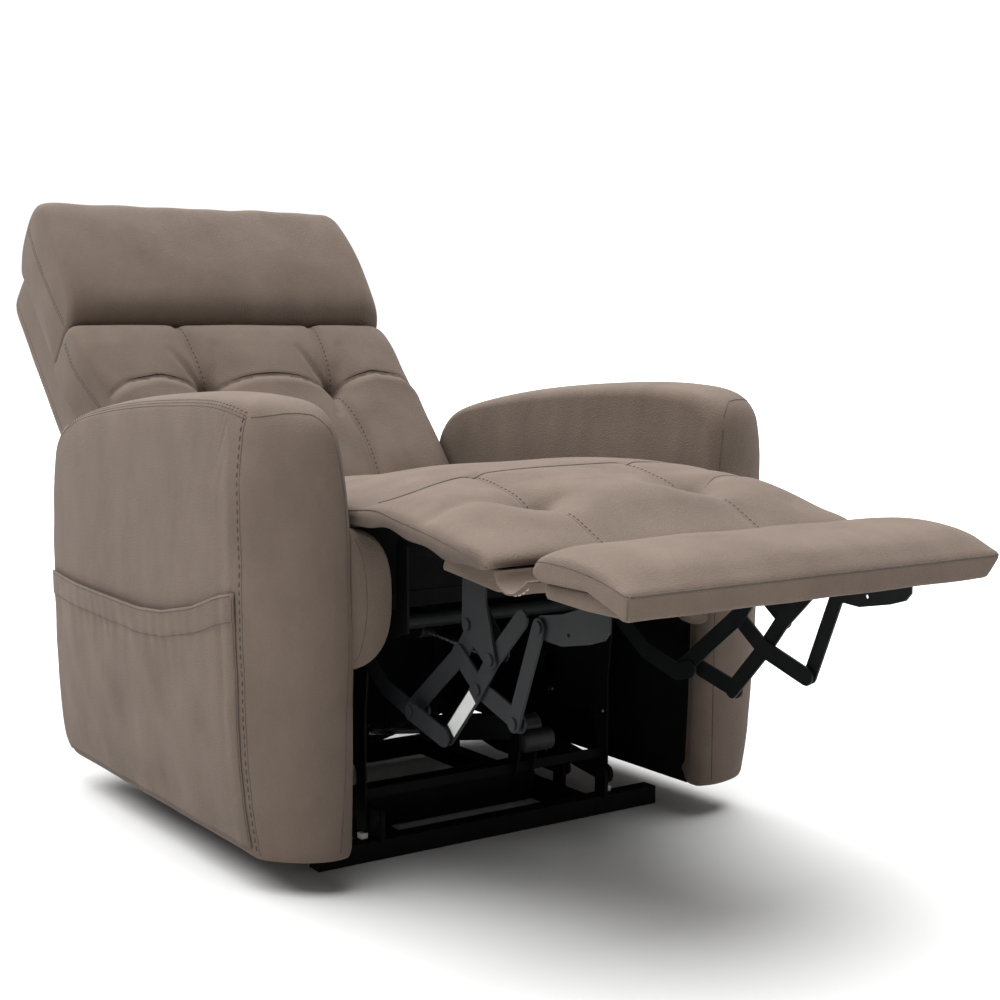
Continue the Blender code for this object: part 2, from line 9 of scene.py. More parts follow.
import bmesh
import bpy
import numpy as np
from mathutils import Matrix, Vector
from mathutils.bvhtree import BVHTree


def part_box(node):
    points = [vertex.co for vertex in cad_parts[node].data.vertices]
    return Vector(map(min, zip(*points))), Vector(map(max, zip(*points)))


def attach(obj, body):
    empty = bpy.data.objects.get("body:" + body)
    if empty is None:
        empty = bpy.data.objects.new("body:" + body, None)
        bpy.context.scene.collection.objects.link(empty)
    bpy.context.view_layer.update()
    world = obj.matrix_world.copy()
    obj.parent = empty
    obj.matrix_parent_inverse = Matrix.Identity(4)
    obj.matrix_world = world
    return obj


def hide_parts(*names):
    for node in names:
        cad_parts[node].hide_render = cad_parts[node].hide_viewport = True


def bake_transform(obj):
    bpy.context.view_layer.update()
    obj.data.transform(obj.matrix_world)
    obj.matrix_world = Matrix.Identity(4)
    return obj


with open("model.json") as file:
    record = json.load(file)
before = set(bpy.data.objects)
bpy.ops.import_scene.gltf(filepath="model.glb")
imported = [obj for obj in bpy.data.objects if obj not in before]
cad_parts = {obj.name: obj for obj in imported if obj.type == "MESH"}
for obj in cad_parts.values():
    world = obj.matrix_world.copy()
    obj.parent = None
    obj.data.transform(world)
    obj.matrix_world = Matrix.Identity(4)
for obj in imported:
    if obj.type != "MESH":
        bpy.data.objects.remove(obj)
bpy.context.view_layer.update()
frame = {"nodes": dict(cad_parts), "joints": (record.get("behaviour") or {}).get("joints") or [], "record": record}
JOINTS = {joint["name"]: joint for joint in frame["joints"]}
ARM_FRONT = JOINTS["footrest"]["pos_m"][1]  # world Y of the arms' front
RIGHT, LEFT = -1.0, 1.0  # the sitter's right is at -X
SIDES = (("right", RIGHT), ("left", LEFT))


def at(x, y, z):
    """World place of a point measured from the front of the arms."""
    return Vector((x, y + ARM_FRONT, z))


# ---- camera, light and floor ----
CAMERA_PLACE = (-1.312, -1.9345, 0.722)
CAMERA_DOWN, CAMERA_TURN = 0.102, -0.6  # radians
CAMERA_LENS = 59.86  # mm, on a sensor 36 mm wide
ROOM_LIGHT = 0.32
BACKDROP_LIGHT = 1.05
SOFTBOX_LIGHT = 8.3
SOFTBOX_SPREAD = 92.0  # degrees
SOFTBOX_AIM = (0.06, -0.32, -1.0)
FLOOR_WHITE = 0.62


def make_camera():
    data = bpy.data.cameras.new("camera")
    data.sensor_width = 36.0
    data.lens = CAMERA_LENS
    camera = bpy.data.objects.new("camera", data)
    bpy.context.scene.collection.objects.link(camera)
    camera.location = CAMERA_PLACE
    camera.rotation_euler = (math.pi / 2 - CAMERA_DOWN, 0.0, CAMERA_TURN)
    bpy.context.scene.camera = camera


def make_studio():
    """A white room: the world is white to look at, and lights the chair more gently than the sun does."""
    world = bpy.data.worlds.new("studio")
    world.use_nodes = True
    tree = world.node_tree
    seen = tree.nodes.new("ShaderNodeLightPath")
    level = tree.nodes.new("ShaderNodeMapRange")
    level.inputs["To Min"].default_value = ROOM_LIGHT
    level.inputs["To Max"].default_value = BACKDROP_LIGHT
    tree.links.new(seen.outputs["Is Camera Ray"], level.inputs["Value"])
    tree.links.new(level.outputs["Result"], tree.nodes["Background"].inputs["Strength"])
    tree.nodes["Background"].inputs["Color"].default_value = (1.0, 1.0, 1.0, 1.0)
    bpy.context.scene.world = world
    bpy.context.scene.view_settings.view_transform = "Standard"
    softbox = bpy.data.lights.new("softbox", "SUN")
    softbox.energy = SOFTBOX_LIGHT
    softbox.angle = math.radians(SOFTBOX_SPREAD)
    lamp = bpy.data.objects.new("softbox", softbox)
    bpy.context.scene.collection.objects.link(lamp)
    lamp.rotation_euler = Vector(SOFTBOX_AIM).to_track_quat("-Z", "Y").to_euler()
    bpy.ops.mesh.primitive_grid_add(x_subdivisions=2, y_subdivisions=2, size=60.0,
                                    location=(0, 0, -0.0005))
    floor = bpy.context.object
    floor.name = "floor"
    floor.data.materials.append(plain_material("floor_white", (FLOOR_WHITE,) * 3, 0.9))


# ---- materials ----
def node(tree, kind, **values):
    made = tree.nodes.new(kind)
    for key, value in values.items():
        if hasattr(made, key):
            setattr(made, key, value)
        else:
            made.inputs[key.replace("_", " ")].default_value = value
    return made


def plain_material(name, color, roughness):
    mat = bpy.data.materials.new(name)
    mat.use_nodes = True
    shader = mat.node_tree.nodes["Principled BSDF"]
    shader.inputs["Base Color"].default_value = (*color, 1.0)
    shader.inputs["Roughness"].default_value = roughness
    return mat


def mottled_colour(tree, broad, fine, dark, light):
    """A colour between dark and light that follows the broad noise and, less, the fine one."""
    both = node(tree, "ShaderNodeMath", operation="MULTIPLY_ADD")
    both.inputs[1].default_value = 0.35
    tree.links.new(fine.outputs["Fac"], both.inputs[0])
    tree.links.new(broad.outputs["Fac"], both.inputs[2])
    ramp = node(tree, "ShaderNodeValToRGB")
    ramp.color_ramp.elements[0].position = 0.45
    ramp.color_ramp.elements[0].color = (*dark, 1.0)
    ramp.color_ramp.elements[1].position = 0.9
    ramp.color_ramp.elements[1].color = (*light, 1.0)
    tree.links.new(both.outputs["Value"], ramp.inputs["Fac"])
    return ramp.outputs["Color"]


def grain_relief(tree, where, fine, grain, bump):
    """A bump of small rounded cells and the fine noise."""
    cells = node(tree, "ShaderNodeTexVoronoi", Scale=grain * 0.8)
    cells.feature = "SMOOTH_F1"
    tree.links.new(where, cells.inputs["Vector"])
    height = node(tree, "ShaderNodeMath", operation="ADD")
    tree.links.new(cells.outputs["Distance"], height.inputs[0])
    tree.links.new(fine.outputs["Fac"], height.inputs[1])
    relief = node(tree, "ShaderNodeBump", Strength=0.6, Distance=bump)
    tree.links.new(height.outputs["Value"], relief.inputs["Height"])
    return relief.outputs["Normal"]


def mottled(name, dark, light, roughness, patch, grain, bump, metallic=0.0, sheen=0.0,
            shine=0.25):
    """A mottled material: patch and grain are cells per metre, bump is the grain's height in metres."""
    mat = bpy.data.materials.new(name)
    mat.use_nodes = True
    tree = mat.node_tree
    link = tree.links.new
    shader = tree.nodes["Principled BSDF"]
    shader.inputs["Metallic"].default_value = metallic
    shader.inputs["Sheen Weight"].default_value = sheen
    shader.inputs["Sheen Roughness"].default_value = 0.45
    shader.inputs["Specular IOR Level"].default_value = 0.5 if metallic else shine
    where = node(tree, "ShaderNodeTexCoord").outputs["Object"]
    stretch = node(tree, "ShaderNodeMapping")
    stretch.inputs["Scale"].default_value = (1.0, 1.0, 0.55)
    link(where, stretch.inputs["Vector"])
    broad = node(tree, "ShaderNodeTexNoise", Scale=patch, Detail=6.0, Roughness=0.62)
    fine = node(tree, "ShaderNodeTexNoise", Scale=grain, Detail=3.0, Roughness=0.6)
    link(stretch.outputs["Vector"], broad.inputs["Vector"])
    link(where, fine.inputs["Vector"])
    link(mottled_colour(tree, broad, fine, dark, light), shader.inputs["Base Color"])
    rough = node(tree, "ShaderNodeMapRange")
    rough.inputs["To Min"].default_value = roughness - 0.06
    rough.inputs["To Max"].default_value = roughness + 0.06
    link(broad.outputs["Fac"], rough.inputs["Value"])
    link(rough.outputs["Result"], shader.inputs["Roughness"])
    link(grain_relief(tree, where, fine, grain, bump), shader.inputs["Normal"])
    return mat


make_camera()
make_studio()
SUEDE = mottled("suede", (0.11, 0.083, 0.066), (0.142, 0.108, 0.087), 0.9, 16.0, 620.0, 0.001,
                sheen=0.05, shine=0.15)
# fold_shade: painted shadow, the dark colour of the thin lines laid in the bottoms of folds
FOLD_SHADE = mottled("fold_shade", (0.03, 0.022, 0.017), (0.045, 0.034, 0.026), 0.95, 60.0, 900.0,
                     0.0002, shine=0.05)
# thread: the stitches' own colour, and painted shade on the seam welts, where it darkens the seams' grooves
THREAD_AND_SEAM_SHADE = mottled("thread", (0.06, 0.046, 0.038), (0.1, 0.08, 0.068), 0.8, 60.0, 1500.0, 0.0002)
PALE_THREAD = mottled("pale_thread", (0.42, 0.37, 0.33), (0.52, 0.47, 0.42), 0.8, 60.0, 1500.0, 0.0002)
# lining: near black; the rear lining's own black, and painted shade on the sheets over the seat front and the
# arms' inner faces and on the wooden parts
BLACK_LINING_AND_SHADE = mottled("lining", (0.006, 0.006, 0.006), (0.01, 0.01, 0.01), 0.95, 30.0, 900.0, 0.0003, shine=0.0)
# black_frame_painted_shade: a darker copy of the links' black paint, painted shade for the frame that stands in
# the chair's shadow; black_links is the lit copy
SHADED_BLACK_STEEL = mottled("black_frame_painted_shade", (0.004, 0.004, 0.004), (0.008, 0.008, 0.008), 0.7, 25.0, 700.0,
                0.00008, shine=0.06)
LINK = mottled("black_links", (0.01, 0.011, 0.012), (0.016, 0.017, 0.018), 0.5, 25.0, 700.0,
               0.00008, shine=0.15)
BOLT = mottled("bolt", (0.1, 0.1, 0.1), (0.16, 0.16, 0.16), 0.3, 25.0, 700.0, 0.00005, metallic=1.0)
PLASTIC = mottled("black_plastic", (0.012, 0.012, 0.013), (0.02, 0.02, 0.021), 0.5, 25.0, 1100.0, 0.0002)
NYLON = mottled("nylon", (0.55, 0.55, 0.53), (0.68, 0.68, 0.66), 0.45, 40.0, 500.0, 0.00008)
ROD = mottled("rod", (0.5, 0.5, 0.5), (0.62, 0.62, 0.62), 0.28, 30.0, 800.0, 0.00004, metallic=1.0)
PAPER = mottled("paper", (0.4, 0.4, 0.39), (0.5, 0.5, 0.49), 0.6, 50.0, 800.0, 0.00005)


# ---- mesh tools ----
def rounded_outline(points, count):
    """count evenly spaced points on a closed outline whose corners (a, b, length) are rounded."""
    corners = [np.array(p[:2], float) for p in points]
    fine = []
    for i, corner in enumerate(corners):
        before = corners[i - 1] - corner
        after = corners[(i + 1) % len(corners)] - corner
        reach = points[i][2]
        start = corner + before * min(0.48, reach / np.linalg.norm(before))
        end = corner + after * min(0.48, reach / np.linalg.norm(after))
        for t in np.linspace(0.0, 1.0, 9):
            fine.append((1 - t) ** 2 * start + 2 * t * (1 - t) * corner + t * t * end)
    closed = np.array(fine + fine[:1])
    steps = np.r_[0.0, np.cumsum(np.linalg.norm(np.diff(closed, axis=0), axis=1))]
    want = np.linspace(0.0, steps[-1], count, endpoint=False)
    return np.column_stack([np.interp(want, steps, closed[:, k]) for k in (0, 1)])


def new_object(name, work):
    """A smooth object from a bmesh, which is used up."""
    mesh = bpy.data.meshes.new(name)
    work.to_mesh(mesh)
    work.free()
    mesh.shade_smooth()
    obj = bpy.data.objects.new(name, mesh)
    bpy.context.scene.collection.objects.link(obj)
    return obj


def closed_object(name, verts, faces):
    """A smooth object from points and faces, with doubles merged and normals outwards."""
    mesh = bpy.data.meshes.new(name)
    mesh.from_pydata(verts, [], faces)
    work = bmesh.new()
    work.from_mesh(mesh)
    bpy.data.meshes.remove(mesh)
    bmesh.ops.remove_doubles(work, verts=work.verts, dist=0.00002)
    bmesh.ops.dissolve_degenerate(work, edges=work.edges, dist=0.00001)
    bmesh.ops.recalc_face_normals(work, faces=work.faces)
    if work.calc_volume(signed=True) < 0.0:
        bmesh.ops.reverse_faces(work, faces=work.faces)
    return new_object(name, work)


def stations(half, edge, dome, spacing):
    """(x, inset, scale) across a pad: flat middle, rounded edge and, unless dome is None, a domed end."""
    middle = np.linspace(0.0, half - edge, max(2, round((half - edge) / spacing)), endpoint=False)
    side = [(x, 0.0, 1.0) for x in middle]
    for turn in np.linspace(0.0, math.pi / 2, 7):
        side.append((half - edge + edge * math.sin(turn), edge * (1 - math.cos(turn)), 1.0))
    if dome is not None:
        for scale in np.linspace(1.0, 0.0, 12)[1:]:
            side.append((half + dome * (1 - scale * scale), edge, scale))
    return [(-x, inset, scale) for x, inset, scale in side[:0:-1]] + side


def loft(name, rings):
    """A closed mesh through rings of equal length; the first and last rings may be points."""
    count = len(rings[0])
    faces = []
    for r in range(len(rings) - 1):
        for i in range(count):
            j = (i + 1) % count
            faces.append((r * count + i, r * count + j, (r + 1) * count + j, (r + 1) * count + i))
    return closed_object(name, np.vstack(rings).tolist(), faces)


def cap_ends(obj, in_triangles=False):
    """Closes the open rings at both ends of a loft."""
    work = bmesh.new()
    work.from_mesh(obj.data)
    rims = [e for e in work.edges if e.is_boundary]
    filled = bmesh.ops.holes_fill(work, edges=rims, sides=0)["faces"]
    if in_triangles:
        bmesh.ops.triangulate(work, faces=filled, quad_method="BEAUTY", ngon_method="BEAUTY")
    bmesh.ops.recalc_face_normals(work, faces=work.faces)
    work.to_mesh(obj.data)
    work.free()


def pad(name, outline, half, edge, dome=0.002, spacing=0.008, x_mid=0.0):
    """A stuffed piece: a side outline of (y, z, corner length), carried across X to half."""
    length = sum(math.dist(a[:2], b[:2]) for a, b in zip(outline, outline[1:] + outline[:1]))
    ring = rounded_outline(outline, round(length / spacing))
    low, high = ring.min(axis=0), ring.max(axis=0)
    centre, size = (low + high) / 2, (high - low) / 2
    rings = []
    for x, inset, scale in stations(half, edge, dome, spacing):
        shape = centre + (ring - centre) * (1 - np.minimum(inset, size * 0.9) / size) * scale
        rings.append(np.column_stack([np.full(len(ring), x_mid + x), shape[:, 0] + ARM_FRONT, shape[:, 1]]))
    return loft(name, rings)


def coords(obj):
    flat = np.empty(len(obj.data.vertices) * 3)
    obj.data.vertices.foreach_get("co", flat)
    return flat.reshape(-1, 3)


def set_coords(obj, co):
    obj.data.vertices.foreach_set("co", co.ravel())
    obj.data.update()


def ease(low, high, value):
    """0 at low and 1 at high, with a smooth start and end; low may be above high."""
    t = np.clip((value - low) / (high - low), 0.0, 1.0)
    return t * t * (3 - 2 * t)


def bell(value, width):
    """1 at 0, falling off over width."""
    return np.exp(-(value / width) ** 2)


def bump_at(u, v, centre, radius):
    return np.exp(-(((u - centre[0]) ** 2 + (v - centre[1]) ** 2) / radius ** 2))


def along_path(u, v, points, radius):
    """1 on a run of straight pieces in the (u, v) plane, falling off over radius."""
    best = np.full(len(u), 9.0)
    for (u0, v0), (u1, v1) in zip(points, points[1:]):
        du, dv = u1 - u0, v1 - v0
        t = np.clip(((u - u0) * du + (v - v0) * dv) / (du * du + dv * dv), 0.0, 1.0)
        best = np.minimum(best, (u - u0 - t * du) ** 2 + (v - v0 - t * dv) ** 2)
    return np.exp(-best / radius ** 2)


def curve_points(points, spacing=0.004):
    """Evenly spaced points on a smooth open curve through points of any dimension."""
    pts = np.array([list(p) for p in points], float)
    if len(pts) > 2:
        first, last = 2 * pts[0] - pts[1], 2 * pts[-1] - pts[-2]
        whole = np.vstack([first, pts, last])
        fine = []
        for i in range(1, len(whole) - 2):
            p0, p1, p2, p3 = whole[i - 1], whole[i], whole[i + 1], whole[i + 2]
            for t in np.linspace(0.0, 1.0, 16, endpoint=False):
                fine.append(0.5 * (2 * p1 + (p2 - p0) * t + (2 * p0 - 5 * p1 + 4 * p2 - p3) * t * t
                                   + (3 * p1 - p0 - 3 * p2 + p3) * t ** 3))
        pts = np.vstack(fine + [pts[-1]])
    steps = np.r_[0.0, np.cumsum(np.linalg.norm(np.diff(pts, axis=0), axis=1))]
    want = np.linspace(0.0, steps[-1], max(2, round(steps[-1] / spacing) + 1))
    return np.column_stack([np.interp(want, steps, pts[:, k]) for k in range(pts.shape[1])])


def surface_tree(obj):
    return BVHTree.FromObject(obj, bpy.context.evaluated_depsgraph_get())


def laid_on(tree, points, direction, spacing=0.004, reach=0.25):
    """(place, normal) pairs where a smooth curve through points, seen along direction, meets a surface."""
    direction = Vector(direction).normalized()
    found = []
    for p in curve_points(points, spacing):
        start = Vector(p) - direction * reach
        place, normal, _, _ = tree.ray_cast(start, direction, reach * 2)
        if place is not None:
            found.append((place, normal))
    return found


def ride_with(obj, mat, body, replaced=()):
    obj.data.materials.clear()
    obj.data.materials.append(mat)
    if replaced:
        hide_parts(*replaced)
    if body:
        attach(obj, body)
    return obj


def tube_mesh(name, runs, radius, sides=6, tapered=False):
    """One mesh of thin closed tubes, each through a run of points, thinning to their ends if tapered."""
    work = bmesh.new()
    for run in runs:
        pts = [Vector(p) for p in run]
        previous = None
        for i, p in enumerate(pts):
            ahead = (pts[min(i + 1, len(pts) - 1)] - pts[max(i - 1, 0)]).normalized()
            side = ahead.orthogonal().normalized()
            if previous is not None:
                side = (previous[1] - ahead * previous[1].dot(ahead)).normalized()
            other = ahead.cross(side)
            turns = [2 * math.pi * k / sides for k in range(sides)]
            share = math.sin(math.pi * (i + 0.5) / len(pts)) if tapered else 1.0
            thick = radius * (0.15 + 0.85 * share)
            ring = [work.verts.new(p + (side * math.cos(a) + other * math.sin(a)) * thick) for a in turns]
            if previous is None:
                work.faces.new(ring[::-1])
            else:
                for k in range(sides):
                    work.faces.new((previous[0][k], previous[0][(k + 1) % sides],
                                    ring[(k + 1) % sides], ring[k]))
            previous = (ring, side)
        work.faces.new(previous[0])
    bmesh.ops.recalc_face_normals(work, faces=work.faces)
    return new_object(name, work)


def seam_shade_line(name, laid, body, radius=0.0009, sink=0.0003):
    """A thin dark welt along a seam, half sunk in the cloth; its dark colour paints the shade in the seam's
    groove.
    """
    run = [place - normal * sink for place, normal in laid]
    return ride_with(tube_mesh(name, [run], radius), THREAD_AND_SEAM_SHADE, body)


def painted_crease_shadow(name, laid, body, radius=0.0013):
    """Painted shadow at the bottom of a fold: a dark tapered thread almost sunk in the cloth."""
    run = [place - normal * radius * 0.55 for place, normal in laid]
    return ride_with(tube_mesh(name, [run], radius, tapered=True), FOLD_SHADE, body)


FINE_STITCH = (0.0085, 0.0055, 0.0006)  # pitch, length and radius in metres


def stitches(name, laid, body, pitch, length, radius, mat=None):
    """A row of sewn stitches over laid, which is a list of (place, normal) pairs."""
    places = np.array([list(place) for place, _ in laid])
    normals = np.array([list(normal) for _, normal in laid])
    steps = np.r_[0.0, np.cumsum(np.linalg.norm(np.diff(places, axis=0), axis=1))]

    def there(distance, lift):
        place = [np.interp(distance, steps, places[:, k]) for k in range(3)]
        normal = [np.interp(distance, steps, normals[:, k]) for k in range(3)]
        return Vector(place) + Vector(normal).normalized() * lift

    runs = []
    start = pitch / 2
    while start + length < steps[-1]:
        lifts = ((0.0, -0.0006), (0.25, 0.0004), (0.75, 0.0004), (1.0, -0.0006))
        runs.append([there(start + length * share, lift) for share, lift in lifts])
        start += pitch
    return ride_with(tube_mesh(name, runs, radius, 5), mat or THREAD_AND_SEAM_SHADE, body)


# ---- arms ----
ARM_SEAM = 0.082  # from the arm's front to the seam on its outer face
FRONT_ROUND = {"right": 1.0, "left": 0.38}  # the right arm's front is the rounder one


def arm_outline(foot):
    return [
        (0.012, foot, 0.012), (-0.002, 0.3, 0.1), (-0.004, 0.56, 0.06), (0.006, 0.612, 0.03),
        (0.055, 0.637, 0.05), (0.19, 0.644, 0.1), (0.45, 0.629, 0.12), (0.64, 0.602, 0.09),
        (0.735, 0.57, 0.07), (0.77, 0.495, 0.07), (0.78, 0.38, 0.1), (0.773, 0.16, 0.1),
        (0.765, foot + 0.03, 0.03), (0.745, foot, 0.03)]


def shape_arm(arm, side, sign, middle, half):
    """Bows both faces, rounds the front and sinks the seam beside it."""
    co = coords(arm)
    y, z = co[:, 1] - ARM_FRONT, co[:, 2]
    across = sign * (co[:, 0] - middle) / half          # 1 on the outer face, -1 on the inner one
    outward = np.interp(z, (0.05, 0.12, 0.22, 0.35, 0.53, 0.6, 0.65),
                        (-0.003, 0.007, 0.013, 0.015, 0.015, 0.011, 0.006))
    rear = ease(0.8, 0.62, y) * 0.55 + 0.45
    inward = np.interp(z, (0.05, 0.3, 0.456, 0.51, 0.588, 0.64),
                       (-0.0125, -0.01, -0.006, -0.002, 0.006, 0.009))
    inward = np.where(inward < 0, inward * ease(0.045, 0.035, y), inward)
    share = ease(-1.0, 1.0, across)
    crown = 0.009 * np.abs(across) ** 2.2 * ease(0.56, 0.615, z)
    bow = FRONT_ROUND[side] * 0.1 * np.clip((across + 0.8) / 1.8, 0, 1) ** 2.6
    inner_bow = 0.014 * np.clip(-across, 0, 1) ** 3.0
    seam = 0.002 * bell(y - ARM_SEAM, 0.006) * ease(0.64, 0.6, z)
    seam *= ease(0.6, 0.9, across)
    ripple = np.sin(z * 61 + y * 9) * np.sin(z * 23 + 1.3) + 0.6 * np.sin(y * 27 + z * 14)
    front_ripple = 0.0008 * np.sin(z * 37 + sign) * ease(0.03, 0.0, y)
    co[:, 0] += sign * (outward * rear * share + inward * (1 - share) - seam + 0.0006 * ripple * share)
    co[:, 1] += bow * np.clip(1 - y / 0.14, 0, 1) + inner_bow * ease(0.11, 0.0, y) + front_ripple
    co[:, 2] -= crown
    set_coords(arm, co)


def build_arm(side, sign):
    low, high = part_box(f"arm_{side}")
    half = (high.x - low.x) / 2
    middle = (high.x + low.x) / 2
    arm = pad(f"arm_cover_{side}", arm_outline(low.z), half, 0.015, 0.002, 0.0085, middle)
    shape_arm(arm, side, sign, middle, half)
    ride_with(arm, SUEDE, "chair", [f"arm_{side}"])
    sew_arm(side, sign, arm, middle, half, low.z)
    return arm


def round_front(tree, middle, sign, turns, heights):
    """Where rays towards the middle of an arm's front meet it, turning from its outer to its inner side."""
    laid = []
    for turn, z in zip(turns, heights):
        way = Vector((sign * math.cos(math.radians(turn)), -math.sin(math.radians(turn)), 0.0))
        start = at(middle, 0.06, z) + way * 0.15
        place, normal, _, _ = tree.ray_cast(start, -way, 0.2)
        if place is not None:
            laid.append((place, normal))
    return laid


def sew_arm(side, sign, arm, middle, half, foot):
    tree = surface_tree(arm)
    out_x = middle + sign * (half + 0.06)
    inward = (-sign, 0.0, 0.0)
    rows = np.linspace(foot + 0.006, 0.615, 14)
    front = [at(out_x, ARM_SEAM, z) for z in rows]
    seam_shade_line(f"arm_front_seam_{side}", laid_on(tree, front, inward), "chair", 0.0008)
    behind = [at(out_x, ARM_SEAM + 0.004, z) for z in rows]
    stitches(f"arm_front_stitch_{side}", laid_on(tree, behind, inward), "chair", 0.0115, 0.0068, 0.0009)
    reach = [0.76, 0.748, 0.725, 0.69, 0.62, 0.53, 0.43, 0.33, 0.19, 0.12, ARM_SEAM]
    height = [0.485, 0.52, 0.548, 0.566, 0.587, 0.601, 0.611, 0.618, 0.623, 0.6195, 0.613]
    edge = [at(middle + sign * (half + 0.004), y, z) for y, z in zip(reach, height)]
    slant = (-sign, 0.0, -0.35)
    seam_shade_line(f"arm_top_seam_{side}", laid_on(tree, edge, slant), "chair", 0.0009)
    for i, shift in enumerate((0.0045, 0.009)):
        row = [p + Vector((0.0, 0.0, shift)) for p in edge[3:]]
        stitches(f"arm_top_stitch_{i}_{side}", laid_on(tree, row, slant), "chair", *FINE_STITCH)
    turns = np.linspace(-18.0, 119.0, 36)
    heights = np.interp(turns, (-18, 10, 40, 80, 105, 113, 119),
                        (0.614, 0.6165, 0.619, 0.6195, 0.6175, 0.611, 0.6))
    drop = np.linspace(0.596, foot + 0.012, 26)
    swing = np.interp(drop, (0.05, 0.45, 0.53, 0.6), (131.0, 129.0, 126.0, 120.0))
    front = round_front(tree, middle, sign, np.r_[turns, swing], np.r_[heights, drop])
    seam_shade_line(f"arm_brow_seam_{side}", front, "chair", 0.0011)


# ---- storage pocket ----
POCKET_FRONT = ARM_SEAM + 0.01
POCKET_REAR = 0.764
POCKET_COLUMNS, POCKET_ROWS = 120, 56
BAND = 0.036  # height of the band under the pocket's rim


def pocket_rim(y):
    """Height of the pocket's rim: it droops between its rear edge and the front seam."""
    return np.interp(y, (0.085, 0.12, 0.2, 0.3, 0.38, 0.5, 0.62, 0.77),
                     (0.394, 0.387, 0.362, 0.343, 0.337, 0.3375, 0.339, 0.342))


def pocket_rear(z):
    """The pocket's rear edge keeps inside the arm's, which comes forward at its foot."""
    return np.interp(z, (0.055, 0.075, 0.16), (0.728, 0.748, 0.764))


def pocket_proud(y, down, share):
    """How far the cloth stands off the arm: down is below the rim, share is 0 at the foot and 1 there."""
    along = (y - POCKET_FRONT) / (POCKET_REAR - POCKET_FRONT)
    held = math.sin(math.pi * min(1.0, max(0.0, along))) ** 0.5
    gape = 0.0022 + 0.0065 * held * share ** 2.2
    fold = 0.0016 * math.sin(y * 31 - down * 26 + 1.0) * math.sin(y * 11 + down * 17)
    fold += 0.0009 * math.sin(y * 63 + down * 44)
    fade = min(1.0, down / 0.05) * held
    gather = 0.001 * math.sin(y * 190 + 2.0 * math.sin(y * 23)) * math.exp(-max(0.0, down - BAND) / 0.02)
    gather *= held if down > 0.034 else 0.35 * held
    return gape + fold * fade + gather + (0.0016 if down < BAND else 0.0)


def pocket_walls(tree, foot):
    """Points of the pocket's outer and inner wall, column by column from its front."""
    outer, inner = [], []
    for i in range(POCKET_COLUMNS + 1):
        rim = float(pocket_rim(POCKET_FRONT + (POCKET_REAR - POCKET_FRONT) * i / POCKET_COLUMNS))
        for j in range(POCKET_ROWS + 1):
            share = j / POCKET_ROWS
            z = foot + (rim - foot) * share
            y = POCKET_FRONT + (float(pocket_rear(z)) - POCKET_FRONT) * i / POCKET_COLUMNS
            hit = tree.ray_cast(at(-0.55, y, z), Vector((1.0, 0.0, 0.0)), 0.4)[0]
            skin = hit.x if hit is not None else -0.407
            proud = pocket_proud(y, rim - z, share)
            outer.append((skin - max(0.0014, proud), y + ARM_FRONT, z))
            inner.append((skin - max(0.0002, proud - 0.0024), y + ARM_FRONT, z))
    return outer, inner


def slab_faces(columns, rows):
    """Faces of a closed slab between two equal grids, the second one numbered after the first."""
    step = rows + 1
    total = (columns + 1) * step
    faces = []
    for i in range(columns):
        for j in range(rows):
            a = i * step + j
            faces.append((a, a + 1, a + step + 1, a + step))
            faces.append((total + a, total + a + step, total + a + step + 1, total + a + 1))
    for j in range(rows):
        a, b = j, columns * step + j
        faces.append((a, total + a, total + a + 1, a + 1))
        faces.append((b, b + 1, total + b + 1, total + b))
    for i in range(columns):
        a, b = i * step, i * step + rows
        faces.append((a, a + step, total + a + step, total + a))
        faces.append((b, total + b, total + b + step, b + step))
    return faces


def sew_pocket(bag, foot):
    skin = surface_tree(bag)
    lengthwise = np.linspace(POCKET_FRONT + 0.004, POCKET_REAR - 0.004, 24)
    for label, down in (("pocket_band_seam", 0.0365), ("pocket_hem_seam", 0.0035)):
        line = [at(-0.55, y, float(pocket_rim(y)) - down) for y in lengthwise]
        seam_shade_line(label, laid_on(skin, line, (1.0, 0.0, 0.0)), "chair", 0.0008)
    side = [at(-0.55, POCKET_FRONT + 0.002, z) for z in np.linspace(foot + 0.01, 0.385, 8)]
    seam_shade_line("pocket_front_seam", laid_on(skin, side, (1.0, 0.0, 0.0)), "chair", 0.0008)


def build_pocket(arm):
    """A closed thin bag wall over the arm's outer face, gathered under a band."""
    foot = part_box("side_pocket")[0].z - 0.016
    outer, inner = pocket_walls(surface_tree(arm), foot)
    bag = closed_object("pocket_bag", outer + inner, slab_faces(POCKET_COLUMNS, POCKET_ROWS))
    ride_with(bag, SUEDE, "chair", ["side_pocket"])
    sew_pocket(bag, foot)


